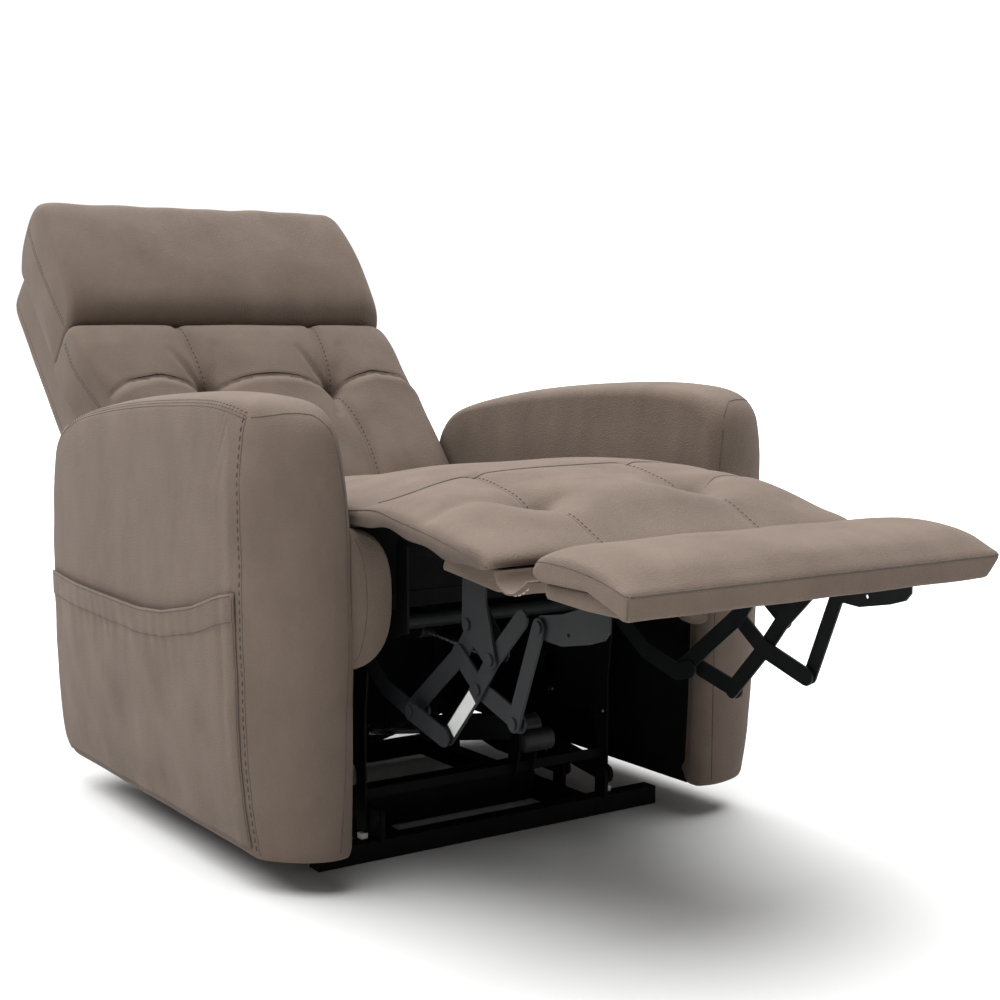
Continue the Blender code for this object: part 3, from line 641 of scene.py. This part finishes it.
# ---- bolsters inside the arms ----
def build_bolster(side, sign):
    low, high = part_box(f"arm_inner_bolster_{side}")
    flat = max(abs(low.x), abs(high.x))
    bulge = flat - min(abs(low.x), abs(high.x)) + 0.01
    middle = (low.z + high.z) / 2 + 0.004
    tall = (high.z - low.z) / 2 + 0.006
    depth = (high.y - low.y)
    rings = []
    for share in np.linspace(0.0, 1.0, 15):
        turn = math.pi * share
        swell = math.sin(turn) ** 0.35
        ring = []
        for k in range(40):
            angle = 2 * math.pi * k / 40
            out = abs(math.cos(angle)) ** 0.9 * bulge * (0.72 + 0.28 * swell) if math.cos(angle) > 0 else 0.0
            up = math.copysign(abs(math.sin(angle)) ** 0.75, math.sin(angle)) * tall * (0.8 + 0.2 * swell)
            scale = 1.0 if 0.0 < share < 1.0 else 0.0
            ring.append((sign * (flat - out * scale), low.y + depth * share, middle + up * scale))
        rings.append(np.array(ring))
    bolster = loft(f"bolster_cover_{side}", rings)
    ride_with(bolster, SUEDE, "chair", [f"arm_inner_bolster_{side}"])
    tree = surface_tree(bolster)
    arc = []
    for k in range(13):
        angle = -math.pi / 2 + math.pi * k / 12
        arc.append(Vector((sign * (flat - bulge * 0.34 * math.cos(angle)), low.y + 0.006,
                           middle + tall * 0.88 * math.sin(angle))))
    seam_shade_line(f"bolster_seam_{side}", laid_on(tree, arc[1:-1], (0.0, 1.0, 0.0)), "chair", 0.0008)


# ---- back ----
LEAN = math.radians(45.0)
BACK_FOOT = (0.588, 0.398)
UP = np.array([0.0, math.cos(LEAN), math.sin(LEAN)])  # along the back, towards its top
DEEP = np.array([0.0, math.sin(LEAN), -math.cos(LEAN)])  # into the back, away from the sitter
TUFTS = ((-0.121, 0.319), (0.121, 0.319))  # (x, along)


def back_place(along, deep):
    base = np.array([0.0, BACK_FOOT[0] + ARM_FRONT, BACK_FOOT[1]])
    return base + UP * along + DEEP * deep


def back_coords(co):
    """x, distance along the back and depth behind its face of each vertex."""
    rel = co - back_place(0.0, 0.0)
    return co[:, 0], rel @ UP, rel @ DEEP


def back_outline(points):
    """Side outline of (along, deep, corner length) points as (y, z, corner length)."""
    turned = []
    for along, deep, reach in points:
        place = back_place(along, deep)
        turned.append((place[1] - ARM_FRONT, place[2], reach))
    return turned


def roll_off(x, half, reach, drop):
    """How far a pad's face falls away near its sides."""
    t = np.clip((np.abs(x) - (half - reach)) / reach, 0.0, 1.0)
    return drop * (1 - np.sqrt(1 - 0.985 * t * t))


NEAR_SIDE, FAR_SIDE = (0.022, 0.012), (0.048, 0.046)  # (reach, drop) of the back's two rounded edges


def side_roll(x, half):
    """The right edge of the back is crisp, where its piping pulls it tight; the left one is fuller."""
    near, far = roll_off(x, half, *NEAR_SIDE), roll_off(x, half, *FAR_SIDE)
    return np.where(x < 0, near, far)


def near_swell(x, along):
    """How far the back's right side bulges out, above the arm."""
    return 0.025 * ease(-0.14, -0.29, x) * ease(0.29, 0.42, along)


def fold_line(x):
    """Distance along the back of the scalloped fold that runs from side to side through the tufts."""
    knots = (0.0, 0.04, 0.085, 0.121, 0.16, 0.205, 0.26, 0.3)
    lines = (0.335, 0.333, 0.324, 0.315, 0.331, 0.34, 0.33, 0.306)
    return np.interp(np.abs(x), knots, lines)


def back_panels(x, along, half):
    """How far the back's face swells out in three panels, with a scalloped fold across them."""
    columns = np.abs(x / half - np.round(x / half * 1.25) / 1.25)
    crown = 0.011 * (1 - np.clip(columns / 0.42, 0, 1) ** 2) * ease(0.02, 0.12, along)
    crown *= 0.7 * ease(0.485, 0.41, along)
    crown += 0.006 * (1 - np.abs(x / half) ** 2) * ease(0.485, 0.44, along)
    above = along - fold_line(x)
    near = ease(0.012, 0.04, np.minimum(np.abs(x - 0.121), np.abs(x + 0.121)))
    lower = 0.005 * ease(0.002, -0.02, above) * np.exp(-np.clip(-above - 0.02, 0, 1) / 0.055) * near
    upper = 0.0022 * np.exp(-np.clip(above, 0, 1) / 0.045) * (above > 0) * (0.4 + 0.6 * near)
    crease = 0.004 * bell(above, 0.005)
    return crown + lower - upper - crease


def back_dents(x, along):
    """How deep the two tufts, their seams and the creases that fan out from them sink."""
    dent = np.zeros(len(x))
    for tx, ta in TUFTS:
        sign = math.copysign(1.0, tx)
        dent += 0.016 * bump_at(x, along, (tx, ta), 0.015) + 0.014 * bump_at(x, along, (tx, ta), 0.045)
        above_seam = [(tx, ta), (tx + sign * 0.006, 0.4), (tx + sign * 0.01, 0.48)]
        below_seam = [(tx, ta), (tx + sign * 0.01, 0.2), (tx, 0.05)]
        for seam in (above_seam, below_seam):
            dent += 0.0075 * along_path(x, along, seam, 0.01)
        pull = [(tx, ta), (tx - 0.022, ta + 0.032), (tx - 0.045, ta + 0.085)]
        nearby = ease(0.12, 0.04, np.hypot(x - tx, along - ta))
        dent += 0.0075 * along_path(x, along, pull, 0.0065) * nearby
        down_fan = [(tx, ta), (tx - 0.012, ta - 0.04), (tx - 0.02, ta - 0.07)]
        up_fan = [(tx, ta), (tx + 0.03, ta + 0.05), (tx + 0.04, ta + 0.09)]
        dent += 0.003 * along_path(x, along, down_fan, 0.008) + 0.0022 * along_path(x, along, up_fan, 0.012)
    return dent


def build_back_cushion():
    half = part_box("back_cushion")[1].x + 0.009
    outline = back_outline([
        (0.035, 0.03, 0.03), (0.12, 0.004, 0.05), (0.3, 0.0, 0.1), (0.47, -0.002, 0.02),
        (0.4835, 0.02, 0.012), (0.4835, 0.117, 0.004), (0.04, 0.117, 0.004)])
    cushion = pad("back_cushion_cover", outline, half, 0.01, 0.002, 0.0042)
    co = coords(cushion)
    x, along, deep = back_coords(co)
    face = ease(0.075, 0.01, deep)
    wave = 0.001 * np.sin(x * 33 + along * 11) * np.sin(along * 46 + 1.0)
    co -= np.outer((back_panels(x, along, half) - back_dents(x, along) + wave) * face, DEEP)
    co += np.outer(side_roll(x, half) * np.clip(1 - deep / 0.117, 0, 1), DEEP)
    co[:, 0] -= near_swell(x, along)
    set_coords(cushion, co)
    return cushion


def build_pillow():
    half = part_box("headrest_pillow")[1].x + 0.007
    outline = back_outline([
        (0.4845, 0.06, 0.02), (0.486, 0.004, 0.016), (0.51, -0.024, 0.03), (0.585, -0.041, 0.06),
        (0.69, -0.043, 0.05), (0.748, -0.034, 0.03), (0.765, 0.006, 0.03), (0.76, 0.08, 0.03),
        (0.735, 0.117, 0.01), (0.4845, 0.117, 0.004)])
    pillow = pad("headrest_cover", outline, half, 0.012, 0.006, 0.006)
    co = coords(pillow)
    x, along, deep = back_coords(co)
    face = ease(0.06, 0.0, deep)
    top = ease(0.66, 0.75, along)
    corner = roll_off(x, half, 0.045, 0.016) * top
    pull = 0.0014 * (np.sin(x * 34 + 1.0) * np.sin(x * 13) + 0.7 * np.sin(x * 71 + along * 30)) * top
    dimple = 0.0013 * np.sin(x * 19 + 2.0) * np.sin(along * 38 + x * 9) * face
    co += np.outer(side_roll(x, half) * np.clip((0.117 - deep) / 0.155, 0, 1), DEEP)
    co[:, 0] -= near_swell(x, along)
    co -= np.outer(corner + pull, UP)
    co -= np.outer(dimple, DEEP)
    set_coords(pillow, co)
    return pillow


def build_shell():
    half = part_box("back_shell")[1].x + 0.004
    outline = back_outline([
        (0.05, 0.1185, 0.004), (0.72, 0.1185, 0.006), (0.742, 0.126, 0.01), (0.752, 0.16, 0.02),
        (0.757, 0.224, 0.016), (0.74, 0.233, 0.012), (0.42, 0.233, 0.1), (0.1, 0.216, 0.05),
        (0.035, 0.17, 0.03)])
    shell = pad("back_shell_cover", outline, half, 0.008, 0.0015, 0.009)
    co = coords(shell)
    x, along, deep = back_coords(co)
    rear = ease(0.17, 0.215, deep)
    belly = 0.005 * (1 - (x / half) ** 2) * np.sin(np.clip(along / 0.76, 0, 1) * math.pi)
    ripple = 0.0008 * np.sin(x * 21 + along * 13) * np.sin(along * 33 + 1.0)
    co += np.outer((belly + ripple) * rear, DEEP)
    set_coords(shell, co)
    ride_with(shell, SUEDE, "back", ["back_shell"])
    sew_shell(surface_tree(shell), half)


def back_line(x, low, high, deep, count=12):
    """Places along the back at one x and one depth."""
    return [Vector(back_place(along, deep) + [x, 0, 0]) for along in np.linspace(low, high, count)]


def sew_shell(tree, half):
    for side, sign in SIDES:
        line = back_line(sign * 0.5, 0.11, 0.745, 0.215)
        seam_shade_line(f"shell_side_seam_{side}", laid_on(tree, line, (-sign, 0, 0), reach=0.4), "back", 0.0008)
        line = back_line(sign * (half - 0.012), 0.11, 0.72, 0.3)
        stitches(f"shell_rear_stitch_{side}", laid_on(tree, line, -DEEP), "back", *FINE_STITCH)


def sew_back(cushion):
    tree = surface_tree(cushion)
    # painted shadow lines under the lips of the back's scalloped fold
    for i, (low, high) in enumerate(((-0.292, -0.124), (-0.118, 0.118), (0.124, 0.28))):
        run = [Vector(back_place(float(fold_line(u)) + 0.0065, -0.1) + [u, 0, 0])
               for u in np.linspace(low, high, 15)]
        painted_crease_shadow(f"back_fold_shadow_{i}", laid_on(tree, run, DEEP), "back", 0.0014)
    for i, (tx, ta) in enumerate(TUFTS):
        sign = math.copysign(1.0, tx)
        above = [(tx, ta + 0.003), (tx + sign * 0.006, 0.4), (tx + sign * 0.01, 0.478)]
        below = [(tx, ta - 0.003), (tx + sign * 0.01, 0.2), (tx, 0.06)]
        for label, run in (("above", above), ("below", below)):
            line = [Vector(back_place(a, -0.1) + [u, 0, 0]) for u, a in run]
            seam_shade_line(f"back_seam_{label}_{i}", laid_on(tree, line, DEEP), "back", 0.0006)
            line = [p + Vector((0.0046, 0, 0)) for p in line]
            stitches(f"back_stitch_{label}_{i}", laid_on(tree, line, DEEP), "back", 0.01, 0.0062, 0.0008)


def sew_back_edges(cushion, pillow):
    rims = (("cushion", surface_tree(cushion), 0.06, 0.475, 0.046),
            ("pillow", surface_tree(pillow), 0.495, 0.735, 0.03))
    for side, sign in SIDES:
        inward = (-sign, 0, 0)
        for label, skin, low, high, deep in rims:
            line = back_line(sign * 0.33, low, high, deep, 10)
            seam_shade_line(f"{label}_edge_seam_{side}", laid_on(skin, line, inward), "back", 0.0008)
            row = laid_on(skin, [p - Vector(DEEP) * 0.006 for p in line], inward)
            stitches(f"{label}_edge_stitch_{side}", row, "back", *FINE_STITCH)


# ---- seat and leg rest ----
LEG_TUFTS = ((-0.125, -0.147), (0.125, -0.147))
LEG_HALF = 0.29


def leg_swell(x, y):
    """How far the cover swells up in its panels, and down along the seam between seat and leg rest."""
    share = np.abs(x) / LEG_HALF
    fullness = 1 - share ** np.where(x < 0, 2.2, 5.0)
    crown = 0.034 * fullness * ease(-0.3, -0.17, y) * ease(0.62, 0.45, y)
    panels = 0.007 * bell(np.abs(x) - 0.215, 0.045) * bell(y + 0.14, 0.075)
    ridge = 0.005 * bell(x, 0.055) * bell(y + 0.18, 0.06)
    dip = 0.008 * bell(x, 0.16) * bell(y - 0.36, 0.12)
    past = y - hinge_seam(x)
    seam = 0.001 * bell(past, 0.006) + 0.0012 * bell(past, 0.022)
    near_side = bell(x + 0.24, 0.07)
    seam += 0.01 * near_side * ease(-0.08, 0.02, y) * ease(0.3, 0.15, y)
    return crown + panels + ridge - dip - seam


def leg_dents(x, y):
    """How deep the leg rest's two tufts sink, with the seams and folds that run out of them."""
    dent = np.zeros(len(x))
    for tx, ty in LEG_TUFTS:
        sign = math.copysign(1.0, tx)
        dent += 0.015 * bump_at(x, y, (tx, ty), 0.017) + 0.026 * bump_at(x, y, (tx, ty), 0.054)
        dent += 0.0055 * along_path(x, y, [(tx, ty), (tx, -0.01)], 0.01)
        dent += 0.0045 * along_path(x, y, [(tx, -0.2), (tx, -0.29)], 0.01)
        outward = [(tx, ty), (tx + sign * 0.05, ty + 0.018), (sign * 0.28, ty + 0.005)]
        dent += 0.0045 * along_path(x, y, outward, 0.014)
        dent += 0.006 * along_path(x, y, [(tx, ty), (tx - sign * 0.035, ty + 0.008)], 0.012)
    return dent


def build_leg_cover():
    """One cover for the seat and the leg rest: it runs over the hinge, as a chaise pad does."""
    outline = [
        (-0.274, 0.455, 0.01), (-0.29, 0.459, 0.008), (-0.289, 0.469, 0.02), (-0.268, 0.479, 0.02),
        (-0.215, 0.489, 0.05), (-0.11, 0.503, 0.08), (0.0, 0.51, 0.08), (0.11, 0.506, 0.08),
        (0.33, 0.48, 0.1), (0.5, 0.462, 0.06), (0.592, 0.45, 0.02), (0.592, 0.383, 0.01),
        (0.055, 0.383, 0.01), (0.053, 0.476, 0.02), (0.0, 0.485, 0.02), (-0.07, 0.488, 0.04),
        (-0.14, 0.474, 0.04), (-0.215, 0.4585, 0.02)]
    cover = pad("seat_and_leg_cover", outline, LEG_HALF, 0.008, None, 0.0052)
    cap_ends(cover, True)
    co = coords(cover)
    x, y, z = co[:, 0], co[:, 1] - ARM_FRONT, co[:, 2]
    base = np.interp(y, (-0.29, -0.215, -0.14, -0.07, 0.1, 0.59),
                     (0.455, 0.4565, 0.468, 0.478, 0.47, 0.42))
    top = np.clip((z - base) / 0.034, 0.0, 1.0)
    fall = roll_off(x, LEG_HALF, 0.03, 0.008) * ease(-0.3, -0.22, y)
    wave = 0.0014 * np.sin(x * 27 + y * 19) * np.sin(y * 41 + 0.6)
    co[:, 2] += (leg_swell(x, y) - fall - leg_dents(x, y) + wave) * top
    edge = ease(0.93, 1.0, np.abs(x) / LEG_HALF)
    co[:, 2] += 0.002 * np.sin(y * 70) * edge * (1 - top) * ease(0.05, 0.0, y)
    set_coords(cover, co)
    return cover


def hinge_seam(x):
    """Y of the seam across the seat: almost straight, a little further back at the sides."""
    return -0.01 + 0.014 * (x / LEG_HALF) ** 2


def sew_leg_cover(cover):
    tree = surface_tree(cover)
    down = (0.0, 0.0, -1.0)
    made = []
    for i, (tx, ty) in enumerate(LEG_TUFTS):
        rear, front = [(tx, ty + 0.004), (tx, -0.004)], [(tx, -0.205), (tx, -0.286)]
        for label, run in (("rear", rear), ("front", front)):
            line = [at(u, v, 0.6) for u, v in run]
            made.append(seam_shade_line(f"leg_seam_{label}_{i}", laid_on(tree, line, down), None, 0.0007))
            line = [p + Vector((0.0038, 0, 0)) for p in line]
            row = laid_on(tree, line, down)
            made.append(stitches(f"leg_stitch_{label}_{i}", row, None, 0.0085, 0.0052, 0.0007))
    for side, sign in SIDES:
        line = [at(sign * (LEG_HALF + 0.02), y, z) for y, z in
                ((0.09, 0.492), (0.03, 0.497), (-0.035, 0.502), (-0.1, 0.494), (-0.17, 0.484),
                 (-0.236, 0.472), (-0.284, 0.4605))]
        row = laid_on(tree, line, (-sign, 0.0, -0.1))
        made.append(seam_shade_line(f"leg_side_seam_{side}", row, None, 0.0012))
    hinge = [at(x, hinge_seam(x), 0.6) for x in np.linspace(-0.262, 0.262, 21)]
    made.append(seam_shade_line("seat_cross_seam", laid_on(tree, hinge, down), None, 0.0013, 0.0))
    # a painted shadow line in the fold that runs out of the left tuft
    tx, ty = LEG_TUFTS[1]
    path = ((tx + 0.012, ty), (tx + 0.05, ty + 0.018), (0.2, ty + 0.022), (0.275, ty + 0.008))
    fold = [at(u, v, 0.6) for u, v in path]
    made.append(painted_crease_shadow("leg_fold_shadow", laid_on(tree, fold, down), None, 0.001))
    across = [at(x, -0.36, 0.4595) for x in np.linspace(-0.275, 0.275, 9)]
    made.append(seam_shade_line("leg_front_seam", laid_on(tree, across, (0.0, 1.0, 0.0)), None, 0.0009))
    return made


# ---- foot pad ----
FOOT_HALF = 0.284


def foot_taper(x, z):
    """How far the front band's left end draws in below the seam, like a pillow's corner."""
    return np.clip(x - 0.24, 0, 1) * 0.55 * np.clip((0.456 - z) / 0.026, 0, 1)


def build_foot_pad():
    outline = [
        (-0.374, 0.453, 0.006), (-0.36, 0.46, 0.01), (-0.359, 0.474, 0.012), (-0.372, 0.488, 0.018),
        (-0.425, 0.493, 0.04), (-0.49, 0.483, 0.03), (-0.526, 0.458, 0.008), (-0.525, 0.43, 0.004),
        (-0.513, 0.43, 0.004), (-0.51, 0.453, 0.006)]
    foot = pad("foot_cover", outline, FOOT_HALF, 0.006, 0.001, 0.0052)
    co = coords(foot)
    x, y, z = co[:, 0], co[:, 1] - ARM_FRONT, co[:, 2]
    top = ease(0.455, 0.478, z)
    co[:, 2] += (0.004 * (1 - (x / FOOT_HALF) ** 2) - roll_off(x, FOOT_HALF, 0.06, 0.011)) * top
    co[:, 2] += 0.0013 * np.sin(x * 30 + y * 20) * np.sin(x * 12 + 2.0) * top
    co[:, 2] += 0.0012 * np.sin(x * 48 + 1.0) * ease(-0.515, -0.53, y) * (1 - top)
    co[:, 0] -= foot_taper(x, z)
    set_coords(foot, co)
    ride_with(foot, SUEDE, "foot", ["foot_cushion"])
    sew_foot_pad(surface_tree(foot))


def sew_foot_pad(tree):
    front = [at(x, -0.6, 0.4565) for x in np.linspace(-0.279, 0.279, 9)]
    seam_shade_line("foot_front_seam", laid_on(tree, front, (0.0, 1.0, 0.0)), "foot", 0.0013)
    for side, sign in SIDES:
        line = [at(sign * (FOOT_HALF + 0.02), y, z) for y, z in
                ((-0.362, 0.47), (-0.375, 0.4755), (-0.42, 0.4755), (-0.463, 0.471),
                 (-0.498, 0.464), (-0.524, 0.456))]
        seam_shade_line(f"foot_side_seam_{side}", laid_on(tree, line, (-sign, 0.0, 0.0)), "foot", 0.0009)
        corner = sign * (FOOT_HALF - 0.002)
        line = [at(corner - float(foot_taper(corner, z)), -0.6, z) for z in np.linspace(0.433, 0.454, 4)]
        seam_shade_line(f"foot_corner_seam_{side}", laid_on(tree, line, (0.0, 1.0, 0.0)), "foot", 0.0008)


def build_covered_boards():
    """The boards under the leg and foot pads are wrapped in the same cloth."""
    outline = [
        (-0.155, 0.44, 0.003), (-0.16, 0.454, 0.003), (-0.284, 0.454, 0.003), (-0.286, 0.429, 0.004),
        (-0.27, 0.427, 0.004)]
    leg = pad("leg_board_cover", outline, 0.268, 0.004, 0.0005, 0.006)
    ride_with(leg, SUEDE, "leg")
    outline = [
        (-0.372, 0.434, 0.003), (-0.37, 0.451, 0.004), (-0.508, 0.4515, 0.003), (-0.511, 0.43, 0.004),
        (-0.44, 0.43, 0.004)]
    foot = pad("foot_board_cover", outline, 0.274, 0.004, 0.0005, 0.006)
    ride_with(foot, SUEDE, "foot", ["foot_board"])


def thin_ring(profile, half_thick):
    """A closed ring round a thin sheet whose middle follows profile."""
    normals = []
    for i in range(len(profile)):
        ahead = profile[min(i + 1, len(profile) - 1)] - profile[max(i - 1, 0)]
        normals.append(np.array([ahead[1], -ahead[0]]) / np.linalg.norm(ahead))
    offset = np.array(normals) * half_thick
    return np.vstack([profile + offset, (profile - offset)[::-1]])


def build_flap():
    """The cloth tongue that sags between the leg rest and the foot pad."""
    ring = thin_ring(curve_points([(-0.287, 0.4545), (-0.292, 0.442), (-0.305, 0.433), (-0.32, 0.432),
                                   (-0.337, 0.44), (-0.35, 0.45)], 0.004), 0.0011)
    rings = []
    for x in np.linspace(-0.282, 0.282, 90):
        sag = 0.0016 * math.sin(x * 40 + 1.0) + 0.001 * math.sin(x * 97)
        weight = bell(ring[:, 0] + 0.315, 0.018)
        height = ring[:, 1] + sag * weight
        rings.append(np.column_stack([np.full(len(ring), x), ring[:, 0] + ARM_FRONT, height]))
    flap = loft("leg_flap_cover", rings)
    cap_ends(flap)
    ride_with(flap, SUEDE, "leg", ["leg_flap"])
    tree = surface_tree(flap)
    for side, sign in SIDES:
        hem = [at(sign * 0.273, y, 0.4) for y in (-0.3, -0.315, -0.33, -0.347)]
        row = laid_on(tree, hem, (0.0, 0.0, 1.0))
        stitches(f"flap_hem_stitch_{side}", row, "leg", 0.0085, 0.0058, 0.0009, PALE_THREAD)


# ---- rear lining, label and small fittings ----
def build_rear_cloth():
    """The black cloth behind the mechanism, hanging a little slack between the arms."""
    low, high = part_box("rear_lining")
    rings = []
    for x in np.linspace(low.x, high.x, 60):
        foot = float(np.interp(x, (0.1, 0.2, 0.3), (0.008, 0.03, 0.062)))
        top = float(np.interp(abs(x), (0.175, 0.19), (0.345, high.z)))
        rows = np.linspace(foot, top, 40)
        free = 1 - (x / high.x) ** 2
        wave = 0.0025 * np.sin(x * 38 + rows * 9) * free + 0.0015 * np.sin(rows * 33 + x * 12) * free
        middle = (low.y + high.y) / 2 + wave
        front, back = np.column_stack([middle - 0.001, rows]), np.column_stack([middle + 0.001, rows])
        ring = np.vstack([front, back[::-1]])
        rings.append(np.column_stack([np.full(len(ring), x), ring]))
    cloth = loft("rear_cloth", rings)
    cap_ends(cloth)
    ride_with(cloth, BLACK_LINING_AND_SHADE, "chair", ["rear_lining"])


def build_seat_shade_sheet():
    """A near-black sheet over the front of the seat, under the hinge of the leg rest: painted shade where the
    seat's underside lies in shadow.
    """
    corners = ((0.0495, 0.381), (0.0495, 0.474), (0.0505, 0.474), (0.0505, 0.381))
    rings = [np.array([at(x, y, z) for y, z in corners]) for x in (-0.296, 0.296)]
    cloth = loft("seat_front_shade_sheet", rings)
    cap_ends(cloth)
    cloth.data.shade_flat()
    ride_with(cloth, BLACK_LINING_AND_SHADE, "chair")


def build_arm_shade_sheet(side, sign):
    """A near-black sheet stretched over the lower inner face of an arm, behind the mechanism: painted shade, which
    also keeps light out of the chair's inside.
    """
    rings = []
    for x in (0.2955, 0.2968):
        corners = [(0.05, 0.0465), (0.05, 0.362), (0.65, 0.362), (0.65, 0.0465)]
        rings.append(np.array([at(sign * x, y, z) for y, z in corners]))
    cloth = loft(f"arm_shade_sheet_{side}", rings)
    cap_ends(cloth)
    cloth.data.shade_flat()
    ride_with(cloth, BLACK_LINING_AND_SHADE, "chair")


def build_label():
    """A blank paper label on the right upper link, on the half below its crossing."""
    crossing, bend = JOINTS["upper_turn"]["pos_m"], JOINTS["tail_turn"]["pos_m"]
    low, high = Vector((0.0, *bend[1:])), Vector((0.0, *crossing[1:]))
    along = (high - low).normalized()
    across = Vector((0.0, -along.z, along.y))
    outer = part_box("upper_link_right")[0].x + RIVET_HEAD - 0.0001
    corners = []
    for end in (low + along * 0.012, high - along * 0.014):
        corners.append((end - across * 0.0095, end + across * 0.0095))
    ring = [corners[0][0], corners[0][1], corners[1][1], corners[1][0]]
    rings = [[(outer - lift, p.y, p.z) for p in ring] for lift in (0.0, 0.0004)]
    label = loft("blank_label", [np.array(r) for r in rings])
    cap_ends(label)
    label.data.shade_flat()
    ride_with(label, PAPER, "upper")


RIVET_HEAD = 0.0025  # height of a rivet head on a link's outer face


def dome(name, centre, radius, mat, body, slot):
    """A domed bolt head whose flat side faces the sitter's left."""
    bpy.ops.mesh.primitive_uv_sphere_add(segments=20, ring_count=12, radius=radius, location=centre)
    head = bpy.context.object
    head.name = name
    for vert in head.data.vertices:
        vert.co.x = min(vert.co.x, 0.0) * 0.6
    head.data.shade_smooth()
    return ride_with(head, mat, body)


def build_fittings():
    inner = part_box("frame_side_plate_left")[0].x
    for i, (y, z) in enumerate(((0.145, 0.05), (0.145, 0.15), (0.275, 0.16))):
        dome(f"side_plate_bolt_{i}", at(inner, y, z), 0.0065, BOLT, "chair", "steel")
    outline = [
        (0.096, 0.128, 0.006), (0.098, 0.146, 0.008), (0.117, 0.15, 0.006), (0.117, 0.118, 0.008),
        (0.104, 0.116, 0.008)]
    head = pad("lift_motor_head", outline, 0.027, 0.005, 0.001, 0.004, 0.06)
    ride_with(head, PLASTIC, "lift_motor")


# ---- the CAD nodes that stay in view, and the whole ----
def dress_cad_nodes():
    """Better materials on the CAD nodes that stay in view."""
    slots = {part["node"]: part["material_slot"] for part in frame["record"]["subparts"]}
    # wooden parts get the near-black lining colour: painted shade inside the chair
    looks = {"fabric": SUEDE, "lining": BLACK_LINING_AND_SHADE, "steel": SHADED_BLACK_STEEL, "plastic": PLASTIC, "glide": NYLON,
             "rod": ROD, "wood": BLACK_LINING_AND_SHADE}
    for name, obj in frame["nodes"].items():
        # moving links get the lit copy of the black paint, the frame the darker copy with painted shade
        moving = "_link_" in name or "_bracket_" in name or name.startswith("drive_")
        obj.data.materials.clear()
        obj.data.materials.append(LINK if moving else looks[slots[name]])


def build_upholstery():
    for side, sign in SIDES:
        arm = build_arm(side, sign)
        if sign == RIGHT:
            build_pocket(arm)
        build_bolster(side, sign)
        build_arm_shade_sheet(side, sign)
    build_shell()
    cushion, pillow = build_back_cushion(), build_pillow()
    for piece, replaced, fill in ((cushion, "back_cushion", 0.75), (pillow, "headrest_pillow", 0.8)):
        ride_with(piece, SUEDE, "back", [replaced])
    sew_back(cushion)
    sew_back_edges(cushion, pillow)
    cover = build_leg_cover()
    ride_with(cover, SUEDE, None, ["leg_cushion", "seat_cushion"])
    for piece in [cover, *sew_leg_cover(cover)]:
        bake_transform(piece)
    build_foot_pad()
    build_covered_boards()
    build_flap()
    build_rear_cloth()
    build_seat_shade_sheet()
    build_label()
    build_fittings()


dress_cad_nodes()
build_upholstery()
